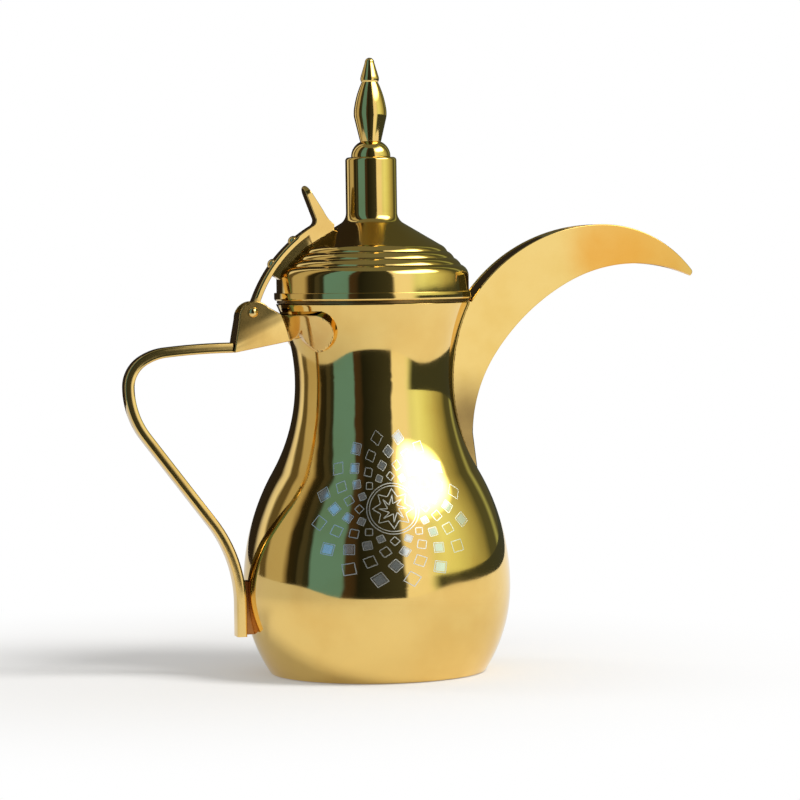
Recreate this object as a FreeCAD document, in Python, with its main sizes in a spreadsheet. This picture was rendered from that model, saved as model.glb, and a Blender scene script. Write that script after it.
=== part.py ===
import FreeCAD, Part
import math
import os
import Sketcher
from types import SimpleNamespace

# Dallah coffee pot: a spun vessel with a beak spout and a bar handle, and a hinged domed lid.
# Millimetres. The origin is the middle of the base, Z is up and the spout points along X.

doc = FreeCAD.newDocument("dallah")
size = doc.addObject("Spreadsheet::Sheet", "size")

DRIVING = {
    # Vessel
    "base_radius": 52.5,
    "belly_radius": 65.4,
    "belly_height": 42.4,
    "waist_radius": 38.7,
    "waist_drop": 38.2,
    "mouth_radius": 47.4,
    "mouth_height": 180.6,
    "vessel_wall": 1.2,
    "foot_gap": 0.4,
    "base_thickness": 1.6,
    "seam_gap": 0.05,
    "strainer_hole": 4.2,
    "strainer_pitch": 12,
    "strainer_side": 3.2,
    "strainer_rows": 4,
    "strainer_drop": 59.6,
    # Spout
    "crest_reach": 68.5,
    "crest_rise": 37,
    "nose_arc": 63,
    "nose_edge": 1,
    "spout_reach": 118,
    "keel_offset": 10.1,
    "keel_drop": 64.6,
    "keel_tail": 24,
    "keel_tail_sink": 1.7,
    "keel_low_arc": 70,
    "keel_mid_arc": 104,
    "keel_high_arc": 75,
    "keel_low_heading": 56.7,
    "keel_mid_heading": 28,
    "spout_root_half": 9,
    "spout_taper": 3.9,
    "spout_flare": 3.7,
    "spout_wall": 1.2,
    "root_overlap": 8,
    "cover_recess": 0.4,
    "cover_root": 2,
    # Neck saddle, hinge bracket and pin
    "saddle_thickness": 2.6,
    "saddle_top_drop": 5,
    "saddle_root_drop": 19,
    "leaf_drop": 23.2,
    "leaf_tip_reach": 28.4,
    "leaf_tip_drop": 8.6,
    "leaf_low_reach": 33.5,
    "leaf_top_reach": 36.2,
    "leaf_notch_reach": 41,
    "leaf_notch_drop": 4.6,
    "leaf_stem_reach": 44.6,
    "leaf_stem_arc": 9,
    "leaf_inner_arc": 15.6,
    "leaf_tip_arc": 9.6,
    "leaf_top_arc": 10.8,
    "leaf_round": 1.8,
    "hinge_offset": 14.1,
    "hinge_drop": 3.4,
    "bracket_width": 15,
    "bracket_arch": 8.2,
    "arch_front": 7.6,
    "arch_front_rise": 2.4,
    "arch_back": 6.8,
    "arch_back_drop": 3.2,
    "arm_top_run": 14.7,
    "slot_front": 7,
    "bracket_reach": 9.6,
    "bracket_slope": 6.4,
    "pin_radius": 1.6,
    "pin_fit": 0.05,
    "pin_head_radius": 2.5,
    "pin_head_height": 1.5,
    # Handle
    "handle_width": 9,
    "handle_thickness": 4.8,
    "handle_round": 1.5,
    "handle_drop": 20.4,
    "handle_top_arc": 312,
    "handle_shoulder_arc": 26,
    "handle_bend_arc": 15,
    "handle_back_arc": 40,
    "handle_foot_arc": 66,
    "handle_top_heading": 186,
    "handle_shoulder_heading": 212,
    "handle_back_heading": 307,
    "handle_standoff": 3.2,
    "handle_end": 20,
    "tenon_length": 6,
    "tenon_width": 5,
    "tenon_height": 2.8,
    "foot_width": 7,
    "foot_height": 27,
    "foot_rise": 1,
    # Lid
    "lid_gap": 0.3,
    "plug_flange": 1.4,
    "plug_depth": 5.6,
    "plug_clearance": 1.2,
    "flange_inset": 0.5,
    "lid_inset": 0.4,
    "lid_wall": 1.2,
    "lip_height": 3.8,
    "lip_overhang": 0.8,
    "lip_chamfer": 0.3,
    "band_height": 11.1,
    "shoulder_arc": 5.7,
    "shoulder_drop": 3.7,
    "bead_step": 3.3,
    "bead_arc": 6.5,
    "dome_slope": 31,
    "collar_arc": 6.2,
    "chimney_radius": 12.5,
    "chimney_height": 26.9,
    "chimney_round": 1.6,
    # Finial
    "cup_radius": 9.6,
    "cup_height": 7.5,
    "cup_edge": 0.9,
    "cup_arc": 8,
    "baluster_foot": 5.1,
    "baluster_radius": 8.1,
    "baluster_height": 29,
    "baluster_low": 14.3,
    "baluster_neck": 4,
    "baluster_arc": 45,
    "tip_height": 11.9,
    "tip_ring": 4.5,
    "tip_ring_height": 2.3,
    "tip_ring_arc": 2.8,
    "tip_round": 2.3,
    "rod_radius": 2,
    "rod_gap": 0.08,
    "rod_tail": 7.5,
    "rod_grip": 5,
    "washer_radius": 5,
    "washer_thickness": 1,
    "nut_flats": 7,
    "nut_height": 3.2,
    # Lid lever
    "lever_width": 10,
    "lever_side_gap": 0.35,
    "lever_thickness": 3,
    "lever_offset": 0.76,
    "lever_foot": 5.9,
    "lever_foot_angle": 70,
    "lever_arc": 68,
    "lever_end_angle": 28,
    "knuckle_radius": 4.2,
    "knuckle_gap": 0.5,
    "tab_length": 18.3,
    "bend_round": 3,
    "tab_angle": 110.8,
    "tab_thickness": 2.2,
    "tab_round": 1.25,
    "gusset_reach": 3.2,
    "gusset_rise": 5.9,
    "gusset_arc": 17,
    "heel_angle": 6,
    "heel_depth": 6,
    "heel_step": 2,
    "heel_edge": 0.6,
    "heel_reach": 8.4,
    "rib_width": 7,
    "rib_reach": 10,
    "rib_low_angle": 57,
    "rivet_low_angle": 53,
    "rivet_high_angle": 40,
    "rivet_radius": 1.5,
    "rivet_head_radius": 2.6,
    "rivet_head_height": 1.7,
    "rivet_tail_radius": 2.3,
    "rivet_tail_height": 1.3,
    "lid_open_angle": 100,
    "stop_gap": 0.3,
}
for row, (alias, number) in enumerate(DRIVING.items(), 1):
    size.set(f"A{row}", alias)
    size.set(f"B{row}", str(number))
    size.setAlias(f"B{row}", alias)
doc.recompute()

dim = SimpleNamespace(**{alias: f"size.{alias}" for alias in DRIVING})
probe = doc.addObject("App::FeaturePython", "probe")


def value(expression):
    """Number that an expression over the sheet has at the moment."""
    return float(probe.evalExpression(str(expression)))


def draw(sketch, corners, bends=None, closed=True):
    """Chain of lines and arcs with every corner and radius bound to the sheet.

    A bend is (radius, side): with side 1 the arc's centre lies left of its chord, with -1 right.
    """
    bends = bends or {}
    spots = [FreeCAD.Vector(value(x), value(y), 0) for x, y in corners]
    edges = len(spots) if closed else len(spots) - 1
    tails = []
    for i in range(edges):
        start = spots[i]
        stop = spots[(i + 1) % len(spots)]
        if i not in bends:
            sketch.addGeometry(Part.LineSegment(start, stop), False)
            tails.append((1, 2))
            continue
        radius, side = bends[i][:2]
        long_way = len(bends[i]) > 2
        reach = value(radius)
        chord = stop - start
        across = FreeCAD.Vector(-chord.y, chord.x, 0).normalize() * side
        rise = math.sqrt(max(reach ** 2 - chord.Length ** 2 / 4, 0))
        centre = start + chord * 0.5 + across * (-rise if long_way else rise)
        turns = [math.atan2(p.y - centre.y, p.x - centre.x) for p in (start, stop)]
        if side < 0:
            turns.reverse()
        if turns[1] < turns[0]:
            turns[1] += 2 * math.pi
        whole = Part.Circle(centre, FreeCAD.Vector(0, 0, 1), reach)
        index = sketch.addGeometry(Part.ArcOfCircle(whole, turns[0], turns[1]), False)
        tails.append((1, 2) if side > 0 else (2, 1))
        number = sketch.addConstraint(Sketcher.Constraint("Radius", index, reach))
        sketch.setExpression(f"Constraints[{number}]", radius)
    for i in range(edges):
        if i or closed:
            last = (i - 1) % edges
            sketch.addConstraint(Sketcher.Constraint("Coincident", last, tails[last][1], i, tails[i][0]))
    for i, (x, y) in enumerate(corners):
        edge, end = (i, tails[i][0]) if i < edges else (i - 1, tails[i - 1][1])
        for kind, expression, amount in (("DistanceX", x, spots[i].x), ("DistanceY", y, spots[i].y)):
            number = sketch.addConstraint(Sketcher.Constraint(kind, -1, 1, edge, end, amount))
            sketch.setExpression(f"Constraints[{number}]", expression)


def circle(sketch, x, y, radius):
    """Circle with its centre and radius bound to the sheet."""
    centre = FreeCAD.Vector(value(x), value(y), 0)
    index = sketch.addGeometry(Part.Circle(centre, FreeCAD.Vector(0, 0, 1), value(radius)), False)
    for kind, expression, rest in (
        ("DistanceX", x, (-1, 1, index, 3)),
        ("DistanceY", y, (-1, 1, index, 3)),
        ("Radius", radius, (index,)),
    ):
        number = sketch.addConstraint(Sketcher.Constraint(kind, *rest, value(expression)))
        sketch.setExpression(f"Constraints[{number}]", expression)


def new_body(label):
    body = doc.addObject("PartDesign::Body", label)
    body.Label = label
    return body


def new_sketch(body, role="XZ_Plane"):
    sketch = body.newObject("Sketcher::SketchObject", f"{body.Name}_sketch")
    plane = next(f for f in body.Origin.OriginFeatures if f.Role == role)
    sketch.AttachmentSupport = [(plane, "")]
    sketch.MapMode = "FlatFace"
    return sketch


def turned(label, corners, bends=None):
    """Body turned round the upright axis from a half section (radius, height)."""
    body = new_body(label)
    sketch = new_sketch(body)
    draw(sketch, corners, bends)
    feature = body.newObject("PartDesign::Revolution", f"{label}_turn")
    feature.Profile = sketch
    feature.ReferenceAxis = (sketch, ["V_Axis"])
    feature.Angle = 360
    sketch.Visibility = False
    doc.recompute()
    return body


def plate(label, corners, bends, width):
    """Body padded both ways from a side outline (reach, height)."""
    body = new_body(label)
    sketch = new_sketch(body)
    draw(sketch, corners, bends)
    pad(body, sketch, width)
    return body


def pad(body, sketch, width):
    feature = body.newObject("PartDesign::Pad", f"{body.Name}_pad")
    feature.Profile = sketch
    feature.setExpression("Length", str(width))
    feature.Midplane = True
    doc.recompute()
    return feature


def pocket(body, sketch, width):
    before = body.Shape.Volume
    feature = body.newObject("PartDesign::Pocket", f"{body.Name}_pocket")
    feature.Profile = sketch
    feature.setExpression("Length", str(width))
    feature.Midplane = True
    doc.recompute()
    if body.Shape.Volume > before - 0.01:
        raise RuntimeError(f"{body.Label}: the pocket removed nothing")
    return feature


def round_corner(body, corner, radius):
    """Round the edge that runs across a plate at one corner of its outline."""
    x, z = (value(place) for place in corner)
    edges = [
        f"Edge{number}"
        for number, edge in enumerate(body.Shape.Edges, 1)
        if all(math.hypot(end.X - x, end.Z - z) < 0.001 for end in edge.Vertexes)
    ]
    base = body.Tip
    feature = body.newObject("PartDesign::Fillet", f"{body.Name}_round")
    feature.Base = (base, edges)
    feature.setExpression("Radius", str(radius))
    doc.recompute()


def combine(kind, label, base, tool):
    """Part boolean of two objects, under a label of its own."""
    made = doc.addObject(f"Part::{kind}", label)
    made.Label = label
    made.Base = base
    made.Tool = tool
    doc.recompute()
    return made


def turn_left(point, heading, radius, new_heading):
    """Corner where an arc that bends left from a heading reaches a new one."""
    x, y = point
    return (
        f"({x} - {radius} * sin({heading}) + {radius} * sin({new_heading}))",
        f"({y} + {radius} * cos({heading}) - {radius} * cos({new_heading}))",
    )


def turn_right(point, heading, radius, new_heading):
    """Corner where an arc that bends right from a heading reaches a new one."""
    x, y = point
    return (
        f"({x} + {radius} * sin({heading}) - {radius} * sin({new_heading}))",
        f"({y} - {radius} * cos({heading}) + {radius} * cos({new_heading}))",
    )


# Vessel: three arcs that run into one another, base to belly, belly to waist and waist to mouth

waist_height = f"({dim.mouth_height} - {dim.waist_drop})"
foot_bulge = f"({dim.belly_radius} - {dim.base_radius})"
belly_fall = f"({dim.belly_radius} - {dim.waist_radius})"
mouth_flare = f"({dim.mouth_radius} - {dim.waist_radius})"
belly_to_waist = f"({waist_height} - {dim.belly_height})"
foot_arc = f"(({dim.belly_height} ^ 2 + {foot_bulge} ^ 2) / (2 * {foot_bulge}))"
neck_arc = f"(({dim.waist_drop} ^ 2 + {mouth_flare} ^ 2) / (2 * {mouth_flare}))"
belly_arc = f"(({belly_fall} ^ 2 + {belly_to_waist} ^ 2) / (2 * {belly_fall}) - {neck_arc})"


def foot_radius(height, inset="0"):
    """Radius of the vessel below its belly, less an inset square to the wall."""
    drop = f"({dim.belly_height} - {height})"
    return f"({dim.belly_radius} - {foot_arc} + sqrt(({foot_arc} - {inset}) ^ 2 - {drop} ^ 2))"


def belly_side(height):
    """Radius of the vessel between its belly and the point where the curve turns."""
    rise = f"({height} - {dim.belly_height})"
    return f"({dim.belly_radius} - {belly_arc} + sqrt({belly_arc} ^ 2 - {rise} ^ 2))"


def neck_radius(height, outset="0"):
    """Radius of the vessel above its waist, plus an outset square to the wall."""
    rise = f"({height} - {waist_height})"
    return f"({dim.waist_radius} + {neck_arc} - sqrt(({neck_arc} - {outset}) ^ 2 - {rise} ^ 2))"


def turning_point(inset="0"):
    """Where the belly's arc hands over to the neck's."""
    run = f"({dim.waist_radius} + {neck_arc} - {dim.belly_radius} + {belly_arc})"
    length = f"({belly_arc} - {inset})"
    whole = f"({belly_arc} + {neck_arc})"
    return (
        f"({dim.belly_radius} - {belly_arc} + {run} * {length} / {whole})",
        f"({dim.belly_height} + {belly_to_waist} * {length} / {whole})",
    )


wall = dim.vessel_wall
vessel_outer = [
    (foot_radius(dim.foot_gap), dim.foot_gap),
    (dim.belly_radius, dim.belly_height),
    turning_point(),
    (dim.mouth_radius, dim.mouth_height),
]
vessel_inner = [
    (foot_radius(dim.foot_gap, wall), dim.foot_gap),
    (f"({dim.belly_radius} - {wall})", dim.belly_height),
    turning_point(wall),
    (neck_radius(dim.mouth_height, f"(-{wall})"), dim.mouth_height),
]

# Belly and neck are raised apart and brazed edge to edge where the two curves meet
vessel_belly = turned(
    "vessel_belly",
    vessel_outer[:3] + vessel_inner[2::-1],
    {
        0: (foot_arc, 1),
        1: (belly_arc, 1),
        3: (f"({belly_arc} - {wall})", -1),
        4: (f"({foot_arc} - {wall})", -1),
    },
)
vessel_neck = turned(
    "vessel_neck",
    vessel_outer[2:] + vessel_inner[:1:-1],
    {0: (neck_arc, -1), 2: (f"({neck_arc} + {wall})", 1)},
)

# Strainer: rows of one hole and of two, by turns, through the neck behind the spout only
strainer = new_sketch(vessel_neck, "YZ_Plane")
hole = f"({dim.strainer_hole} / 2)"
strainer_low = f"({dim.mouth_height} - {dim.strainer_drop})"
circle(strainer, "0", strainer_low, hole)
pair_height = f"({strainer_low} + {dim.strainer_pitch} / 2)"
for side in (-1, 1):
    circle(strainer, f"({side} * {dim.strainer_side})", pair_height, hole)
neck_before = vessel_neck.Shape.Volume
holes = vessel_neck.newObject("PartDesign::Pocket", "strainer_holes")
holes.Profile = strainer
holes.setExpression("Length", dim.mouth_radius)
holes.Reversed = True
doc.recompute()
rows = vessel_neck.newObject("PartDesign::LinearPattern", "strainer_rows")
rows.Originals = [holes]
rows.Direction = (strainer, ["V_Axis"])
rows.setExpression("Length", f"{dim.strainer_pitch} * ({dim.strainer_rows} - 1)")
rows.setExpression("Occurrences", dim.strainer_rows)
vessel_neck.Tip = rows
doc.recompute()
if vessel_neck.Shape.Volume > neck_before - 0.01:
    raise RuntimeError("the strainer holes removed nothing")

# Base plate: its edge leans with the wall that it is soldered into
base_inset = f"({wall} + {dim.seam_gap})"
base_plate = turned(
    "base_plate",
    [
        ("0", "0"),
        (foot_radius("0", base_inset), "0"),
        (foot_radius(dim.base_thickness, base_inset), dim.base_thickness),
        ("0", dim.base_thickness),
    ],
    {1: (f"({foot_arc} - {base_inset})", 1)},
)

# Solid outlines of the vessel, and of the vessel with its saddle, that trim what is brazed to them
vessel_form = turned(
    "vessel_form",
    [("0", dim.foot_gap)] + vessel_outer + [("0", dim.mouth_height)],
    {1: (foot_arc, 1), 2: (belly_arc, 1), 3: (neck_arc, -1)},
)
saddle_thickness = dim.saddle_thickness
saddle_form = turned(
    "saddle_form",
    [
        ("0", waist_height),
        (f"({dim.waist_radius} + {saddle_thickness})", waist_height),
        (neck_radius(dim.mouth_height, saddle_thickness), dim.mouth_height),
        ("0", dim.mouth_height),
    ],
    {1: (f"({neck_arc} - {saddle_thickness})", -1)},
)

# Spout: two flat cheeks that lean apart upwards and close in towards the tip

crest = (f"({dim.mouth_radius} + {dim.crest_reach})", f"({dim.mouth_height} + {dim.crest_rise})")
back_arc = f"(({dim.crest_reach} ^ 2 + {dim.crest_rise} ^ 2) / (2 * {dim.crest_rise}))"
nose_run = f"({dim.spout_reach} - {dim.crest_reach})"
nose = (
    f"({dim.mouth_radius} + {dim.spout_reach})",
    f"({crest[1]} - {dim.nose_arc} + sqrt({dim.nose_arc} ^ 2 - {nose_run} ^ 2))",
)
keel_low = f"({dim.mouth_height} - {dim.keel_drop})"
keel_root = (f"({dim.waist_radius} + {dim.keel_offset})", keel_low)
keel_first = turn_right(keel_root, "90", dim.keel_low_arc, dim.keel_low_heading)
keel_second = turn_right(keel_first, dim.keel_low_heading, dim.keel_mid_arc, dim.keel_mid_heading)
keel_end_x = f"({nose[0]} - {dim.nose_edge})"
keel_end_sine = f"(sin({dim.keel_mid_heading}) - ({keel_end_x} - {keel_second[0]}) / {dim.keel_high_arc})"
keel_end_cosine = f"sqrt(1 - {keel_end_sine} ^ 2)"
keel_end = (
    keel_end_x,
    f"({keel_second[1]} - {dim.keel_high_arc} * (cos({dim.keel_mid_heading}) - {keel_end_cosine}))",
)
tail_height = f"({keel_low} - {dim.keel_tail})"
tail = (f"({belly_side(tail_height)} - {dim.keel_tail_sink})", tail_height)
inside_neck = f"({dim.waist_radius} - {dim.root_overlap})"
beak = [
    (dim.mouth_radius, dim.mouth_height),
    (f"({dim.mouth_radius} - {dim.root_overlap})", dim.mouth_height),
    (inside_neck, waist_height),
    (inside_neck, tail_height),
    tail,
    keel_root,
    keel_first,
    keel_second,
    keel_end,
    nose,
    crest,
]
beak_bends = {
    5: (dim.keel_low_arc, -1),
    6: (dim.keel_mid_arc, -1),
    7: (dim.keel_high_arc, -1),
    9: (dim.nose_arc, 1),
    10: (back_arc, 1),
}
spout_span = f"(4 * {dim.spout_root_half})"
slab_reach = f"({dim.spout_reach} + {dim.mouth_radius} * 2)"
slab_height = f"(2 * {dim.crest_rise} + {dim.mouth_height})"


def spout_side(label, side, thickness):
    """Leaning slab whose inner face is the inside of one cheek."""
    slab = doc.addObject("Part::Box", label)
    slab.Label = label
    slab.setExpression("Length", slab_reach)
    slab.setExpression("Width", thickness)
    slab.setExpression("Height", slab_height)
    lean = FreeCAD.Rotation(FreeCAD.Vector(0, 0, 1), -side * value(dim.spout_taper))
    lean = lean * FreeCAD.Rotation(FreeCAD.Vector(1, 0, 0), -side * value(dim.spout_flare))
    corner = FreeCAD.Vector(
        -value(dim.mouth_radius),
        0 if side > 0 else -value(thickness),
        -value(dim.mouth_height),
    )
    root = FreeCAD.Vector(
        value(dim.mouth_radius),
        side * (value(dim.spout_root_half) - value(dim.spout_wall)),
        value(dim.mouth_height),
    )
    slab.Placement = FreeCAD.Placement(root + lean.multVec(corner), lean)
    doc.recompute()
    return slab


cheeks = {}
for name, side in (("left", 1), ("right", -1)):
    blank = plate(f"spout_blank_{name}", beak, beak_bends, spout_span)
    slab = spout_side(f"spout_slab_{name}", side, dim.spout_wall)
    sheet = combine("Common", f"spout_sheet_{name}", blank, slab)
    cheeks[name] = combine("Cut", f"spout_cheek_{name}", sheet, vessel_form)


def between_cheeks(label, corners, bends):
    """Strip that fills the space between the cheeks, trimmed to the vessel."""
    strip = plate(f"{label}_strip", corners, bends, spout_span)
    for name, side in (("left", 1), ("right", -1)):
        outside = spout_side(f"{label}_outside_{name}", side, spout_span)
        strip = combine("Cut", f"{label}_inside_{name}", strip, outside)
    return combine("Cut", label, strip, vessel_form)


# Keel: the strip under the beak, one wall thick inside its lower edge
metal = dim.spout_wall
keel_inner_root = (f"({keel_root[0]} - {metal})", keel_root[1])
keel_inner_first = turn_right(keel_inner_root, "90", f"({dim.keel_low_arc} + {metal})", dim.keel_low_heading)
keel_inner_second = turn_right(
    keel_inner_first, dim.keel_low_heading, f"({dim.keel_mid_arc} + {metal})", dim.keel_mid_heading
)
keel_inner_end = (
    f"({keel_end[0]} - {metal} * {keel_end_sine})",
    f"({keel_end[1]} + {metal} * {keel_end_cosine})",
)
spout_keel = between_cheeks(
    "spout_keel",
    [
        (f"({tail[0]} - {metal})", tail_height),
        tail,
        keel_root,
        keel_first,
        keel_second,
        keel_end,
        keel_inner_end,
        keel_inner_second,
        keel_inner_first,
        keel_inner_root,
    ],
    {
        2: (dim.keel_low_arc, -1),
        3: (dim.keel_mid_arc, -1),
        4: (dim.keel_high_arc, -1),
        6: (f"({dim.keel_high_arc} + {metal})", 1),
        7: (f"({dim.keel_mid_arc} + {metal})", 1),
        8: (f"({dim.keel_low_arc} + {metal})", 1),
    },
)

# Cover: the strip over the beak from the rim to the crest, set a little below the cheeks' edges
cover_outer = f"({back_arc} - {dim.cover_recess})"
cover_inner = f"({cover_outer} - {metal})"
back_centre = f"({crest[1]} - {back_arc})"
cover_foot = f"({dim.mouth_height} - {dim.cover_root})"
cover_drop = f"({cover_foot} - {back_centre})"
spout_cover = between_cheeks(
    "spout_cover",
    [
        (f"({crest[0]} - sqrt({cover_outer} ^ 2 - {cover_drop} ^ 2))", cover_foot),
        (f"({crest[0]} - sqrt({cover_inner} ^ 2 - {cover_drop} ^ 2))", cover_foot),
        (crest[0], f"({back_centre} + {cover_inner})"),
        (crest[0], f"({back_centre} + {cover_outer})"),
    ],
    {1: (cover_inner, -1), 3: (cover_outer, 1)},
)

# Neck saddle: a band of the neck's own curve, cut from the side to a root, a stem and a hanging leaf

saddle_top = f"({dim.mouth_height} - {dim.saddle_top_drop})"
saddle_root = f"({dim.mouth_height} - {dim.saddle_root_drop})"
leaf_low = f"({dim.mouth_height} - {dim.leaf_drop})"
saddle_band = turned(
    "saddle_band",
    [
        (neck_radius(leaf_low), leaf_low),
        (neck_radius(leaf_low, saddle_thickness), leaf_low),
        (neck_radius(saddle_top, saddle_thickness), saddle_top),
        (neck_radius(saddle_top), saddle_top),
    ],
    {1: (f"({neck_arc} - {saddle_thickness})", -1), 3: (neck_arc, 1)},
)
behind = f"(-2 * {dim.mouth_radius})"
leaf_foot = (f"(-{dim.leaf_low_reach})", leaf_low)
saddle_outline = plate(
    "saddle_outline",
    [
        (behind, saddle_root),
        (f"(-{dim.leaf_stem_reach})", saddle_root),
        (f"(-{dim.leaf_notch_reach})", f"({saddle_top} - {dim.leaf_notch_drop})"),
        leaf_foot,
        (f"(-{dim.leaf_tip_reach})", f"({saddle_top} - {dim.leaf_tip_drop})"),
        (f"(-{dim.leaf_top_reach})", saddle_top),
        (behind, saddle_top),
    ],
    {
        1: (dim.leaf_stem_arc, 1),
        2: (dim.leaf_inner_arc, 1),
        3: (dim.leaf_tip_arc, 1),
        4: (dim.leaf_top_arc, 1),
    },
    f"(3 * {dim.mouth_radius})",
)
round_corner(saddle_outline, leaf_foot, dim.leaf_round)
neck_saddle = combine("Common", "neck_saddle", saddle_band, saddle_outline)

# Lid lever: places that its hinge, its stop and its rivets share

pin = (f"(-{dim.mouth_radius} - {dim.hinge_offset})", f"({dim.mouth_height} - {dim.hinge_drop})")
foot_angle = dim.lever_foot_angle


def from_pin(along, left, angle):
    """Place a way along a heading from the pin and a way to the left of it."""
    return (
        f"({pin[0]} + {along} * cos({angle}) - {left} * sin({angle}))",
        f"({pin[1]} + {along} * sin({angle}) + {left} * cos({angle}))",
    )


lever_start = from_pin(dim.lever_foot, dim.lever_offset, foot_angle)
lever_centre = (
    f"({lever_start[0]} + {dim.lever_arc} * sin({foot_angle}))",
    f"({lever_start[1]} - {dim.lever_arc} * cos({foot_angle}))",
)


def on_lever(depth, heading):
    """Place on the lever's arc, a depth below its outer face."""
    reach = f"({dim.lever_arc} - {depth})"
    return (
        f"({lever_centre[0]} - {reach} * sin({heading}))",
        f"({lever_centre[1]} + {reach} * cos({heading}))",
    )


# Hinge bracket: an arm with an arch round the pin, slotted for the lever's knuckle

handle_root = (
    f"({pin[0]} - {dim.bracket_reach})",
    f"({dim.mouth_height} - {dim.handle_drop})",
)
arm_low = f"({handle_root[1]} - {dim.handle_thickness} / 2)"
inside_saddle = f"({dim.saddle_thickness} - {dim.waist_radius})"
bracket_blank = plate(
    "bracket_blank",
    [
        (handle_root[0], arm_low),
        (inside_saddle, f"({arm_low} + {dim.bracket_slope})"),
        (inside_saddle, saddle_top),
        (f"({pin[0]} + {dim.arm_top_run})", saddle_top),
        (f"({pin[0]} + {dim.arch_front})", f"({pin[1]} + {dim.arch_front_rise})"),
        (f"({pin[0]} - {dim.arch_back})", f"({pin[1]} - {dim.arch_back_drop})"),
    ],
    {4: (dim.bracket_arch, 1)},
    dim.bracket_width,
)
stop_angle = f"({foot_angle} + {dim.lid_open_angle})"
knuckle_space = f"({dim.knuckle_radius} + {dim.knuckle_gap})"
stop_depth = f"({dim.lever_offset} + {dim.stop_gap})"
stop_along = f"sqrt({knuckle_space} ^ 2 - {stop_depth} ^ 2)"
stop_inner = from_pin(stop_along, stop_depth, stop_angle)
stop_outer = from_pin(f"(2 * {dim.bracket_reach})", stop_depth, stop_angle)
slot_wall = f"({pin[0]} + {dim.slot_front})"
slot_top = f"({pin[1]} + 2 * {dim.bracket_arch})"
slot_sketch = new_sketch(bracket_blank)
draw(
    slot_sketch,
    [
        (slot_wall, slot_top),
        (stop_outer[0], slot_top),
        stop_outer,
        stop_inner,
        (pin[0], f"({pin[1]} - {knuckle_space})"),
        (slot_wall, f"({pin[1]} - {knuckle_space})"),
    ],
    {3: (knuckle_space, 1)},
)
pocket(bracket_blank, slot_sketch, f"({dim.lever_width} + 2 * {dim.lever_side_gap})")
bore_sketch = new_sketch(bracket_blank)
circle(bore_sketch, pin[0], pin[1], f"({dim.pin_radius} + {dim.pin_fit})")
pocket(bracket_blank, bore_sketch, f"(2 * {dim.bracket_width})")
mortise_end = f"({handle_root[0]} + {dim.tenon_length} + 2 * {dim.seam_gap})"
mortise_mouth = f"({handle_root[0]} - {dim.tenon_height})"
mortise_half = f"({dim.tenon_height} / 2 + {dim.seam_gap})"
mortise = new_sketch(bracket_blank)
draw(
    mortise,
    [
        (mortise_mouth, f"({handle_root[1]} - {mortise_half})"),
        (mortise_end, f"({handle_root[1]} - {mortise_half})"),
        (mortise_end, f"({handle_root[1]} + {mortise_half})"),
        (mortise_mouth, f"({handle_root[1]} + {mortise_half})"),
    ],
)
pocket(bracket_blank, mortise, f"({dim.tenon_width} + 2 * {dim.seam_gap})")
hinge_bracket = combine("Cut", "hinge_bracket", bracket_blank, saddle_form)

# Hinge pin: turned upright with a domed head at each end, then laid across the ears
pin_half = f"({dim.bracket_width} / 2 + {dim.seam_gap})"
pin_tip = f"({pin_half} + {dim.pin_head_height})"
pin_dome = f"(({dim.pin_head_radius} ^ 2 + {dim.pin_head_height} ^ 2) / (2 * {dim.pin_head_height}))"
hinge_pin = turned(
    "hinge_pin",
    [
        ("0", f"(-{pin_tip})"),
        (dim.pin_head_radius, f"(-{pin_half})"),
        (dim.pin_radius, f"(-{pin_half})"),
        (dim.pin_radius, pin_half),
        (dim.pin_head_radius, pin_half),
        ("0", pin_tip),
    ],
    {0: (pin_dome, 1), 4: (pin_dome, 1)},
)
hinge_pin.Placement = FreeCAD.Placement(
    FreeCAD.Vector(value(pin[0]), 0, value(pin[1])),
    FreeCAD.Rotation(FreeCAD.Vector(1, 0, 0), 90),
)

# Handle: one bar swept along its bends, with a tenon in the bracket

handle_bar = new_body("handle_bar")
top_end = turn_left(handle_root, "180", dim.handle_top_arc, dim.handle_top_heading)
shoulder_end = turn_left(
    top_end, dim.handle_top_heading, dim.handle_shoulder_arc, dim.handle_shoulder_heading
)
bend_end = turn_left(shoulder_end, dim.handle_shoulder_heading, dim.handle_bend_arc, "270")
back_start = turn_left(bend_end, "270", dim.handle_back_arc, dim.handle_back_heading)
foot_x = f"(-{dim.belly_radius} - {dim.handle_standoff})"
back_sine = f"sin({dim.handle_back_heading})"
back_cosine = f"cos({dim.handle_back_heading})"
back_reach = f"({foot_x} - {back_start[0]} - {dim.handle_foot_arc} * (1 + {back_sine}))"
back_run = f"({back_reach} / {back_cosine})"
back_end = (
    f"({back_start[0]} + {back_run} * {back_cosine})",
    f"({back_start[1]} + {back_run} * {back_sine})",
)
foot_start = (foot_x, f"({back_end[1]} - {dim.handle_foot_arc} * {back_cosine})")
path = new_sketch(handle_bar)
draw(
    path,
    [
        handle_root,
        top_end,
        shoulder_end,
        bend_end,
        back_start,
        back_end,
        foot_start,
        (foot_x, dim.handle_end),
    ],
    {
        0: (dim.handle_top_arc, 1),
        1: (dim.handle_shoulder_arc, 1),
        2: (dim.handle_bend_arc, 1),
        3: (dim.handle_back_arc, 1),
        5: (dim.handle_foot_arc, -1),
    },
    closed=False,
)
section = new_sketch(handle_bar, "YZ_Plane")
section.setExpression("AttachmentOffset.Base.z", handle_root[0])
half_wide = f"({dim.handle_width} / 2)"
half_thick = f"({dim.handle_thickness} / 2)"
corner = dim.handle_round
rounded = []
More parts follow.
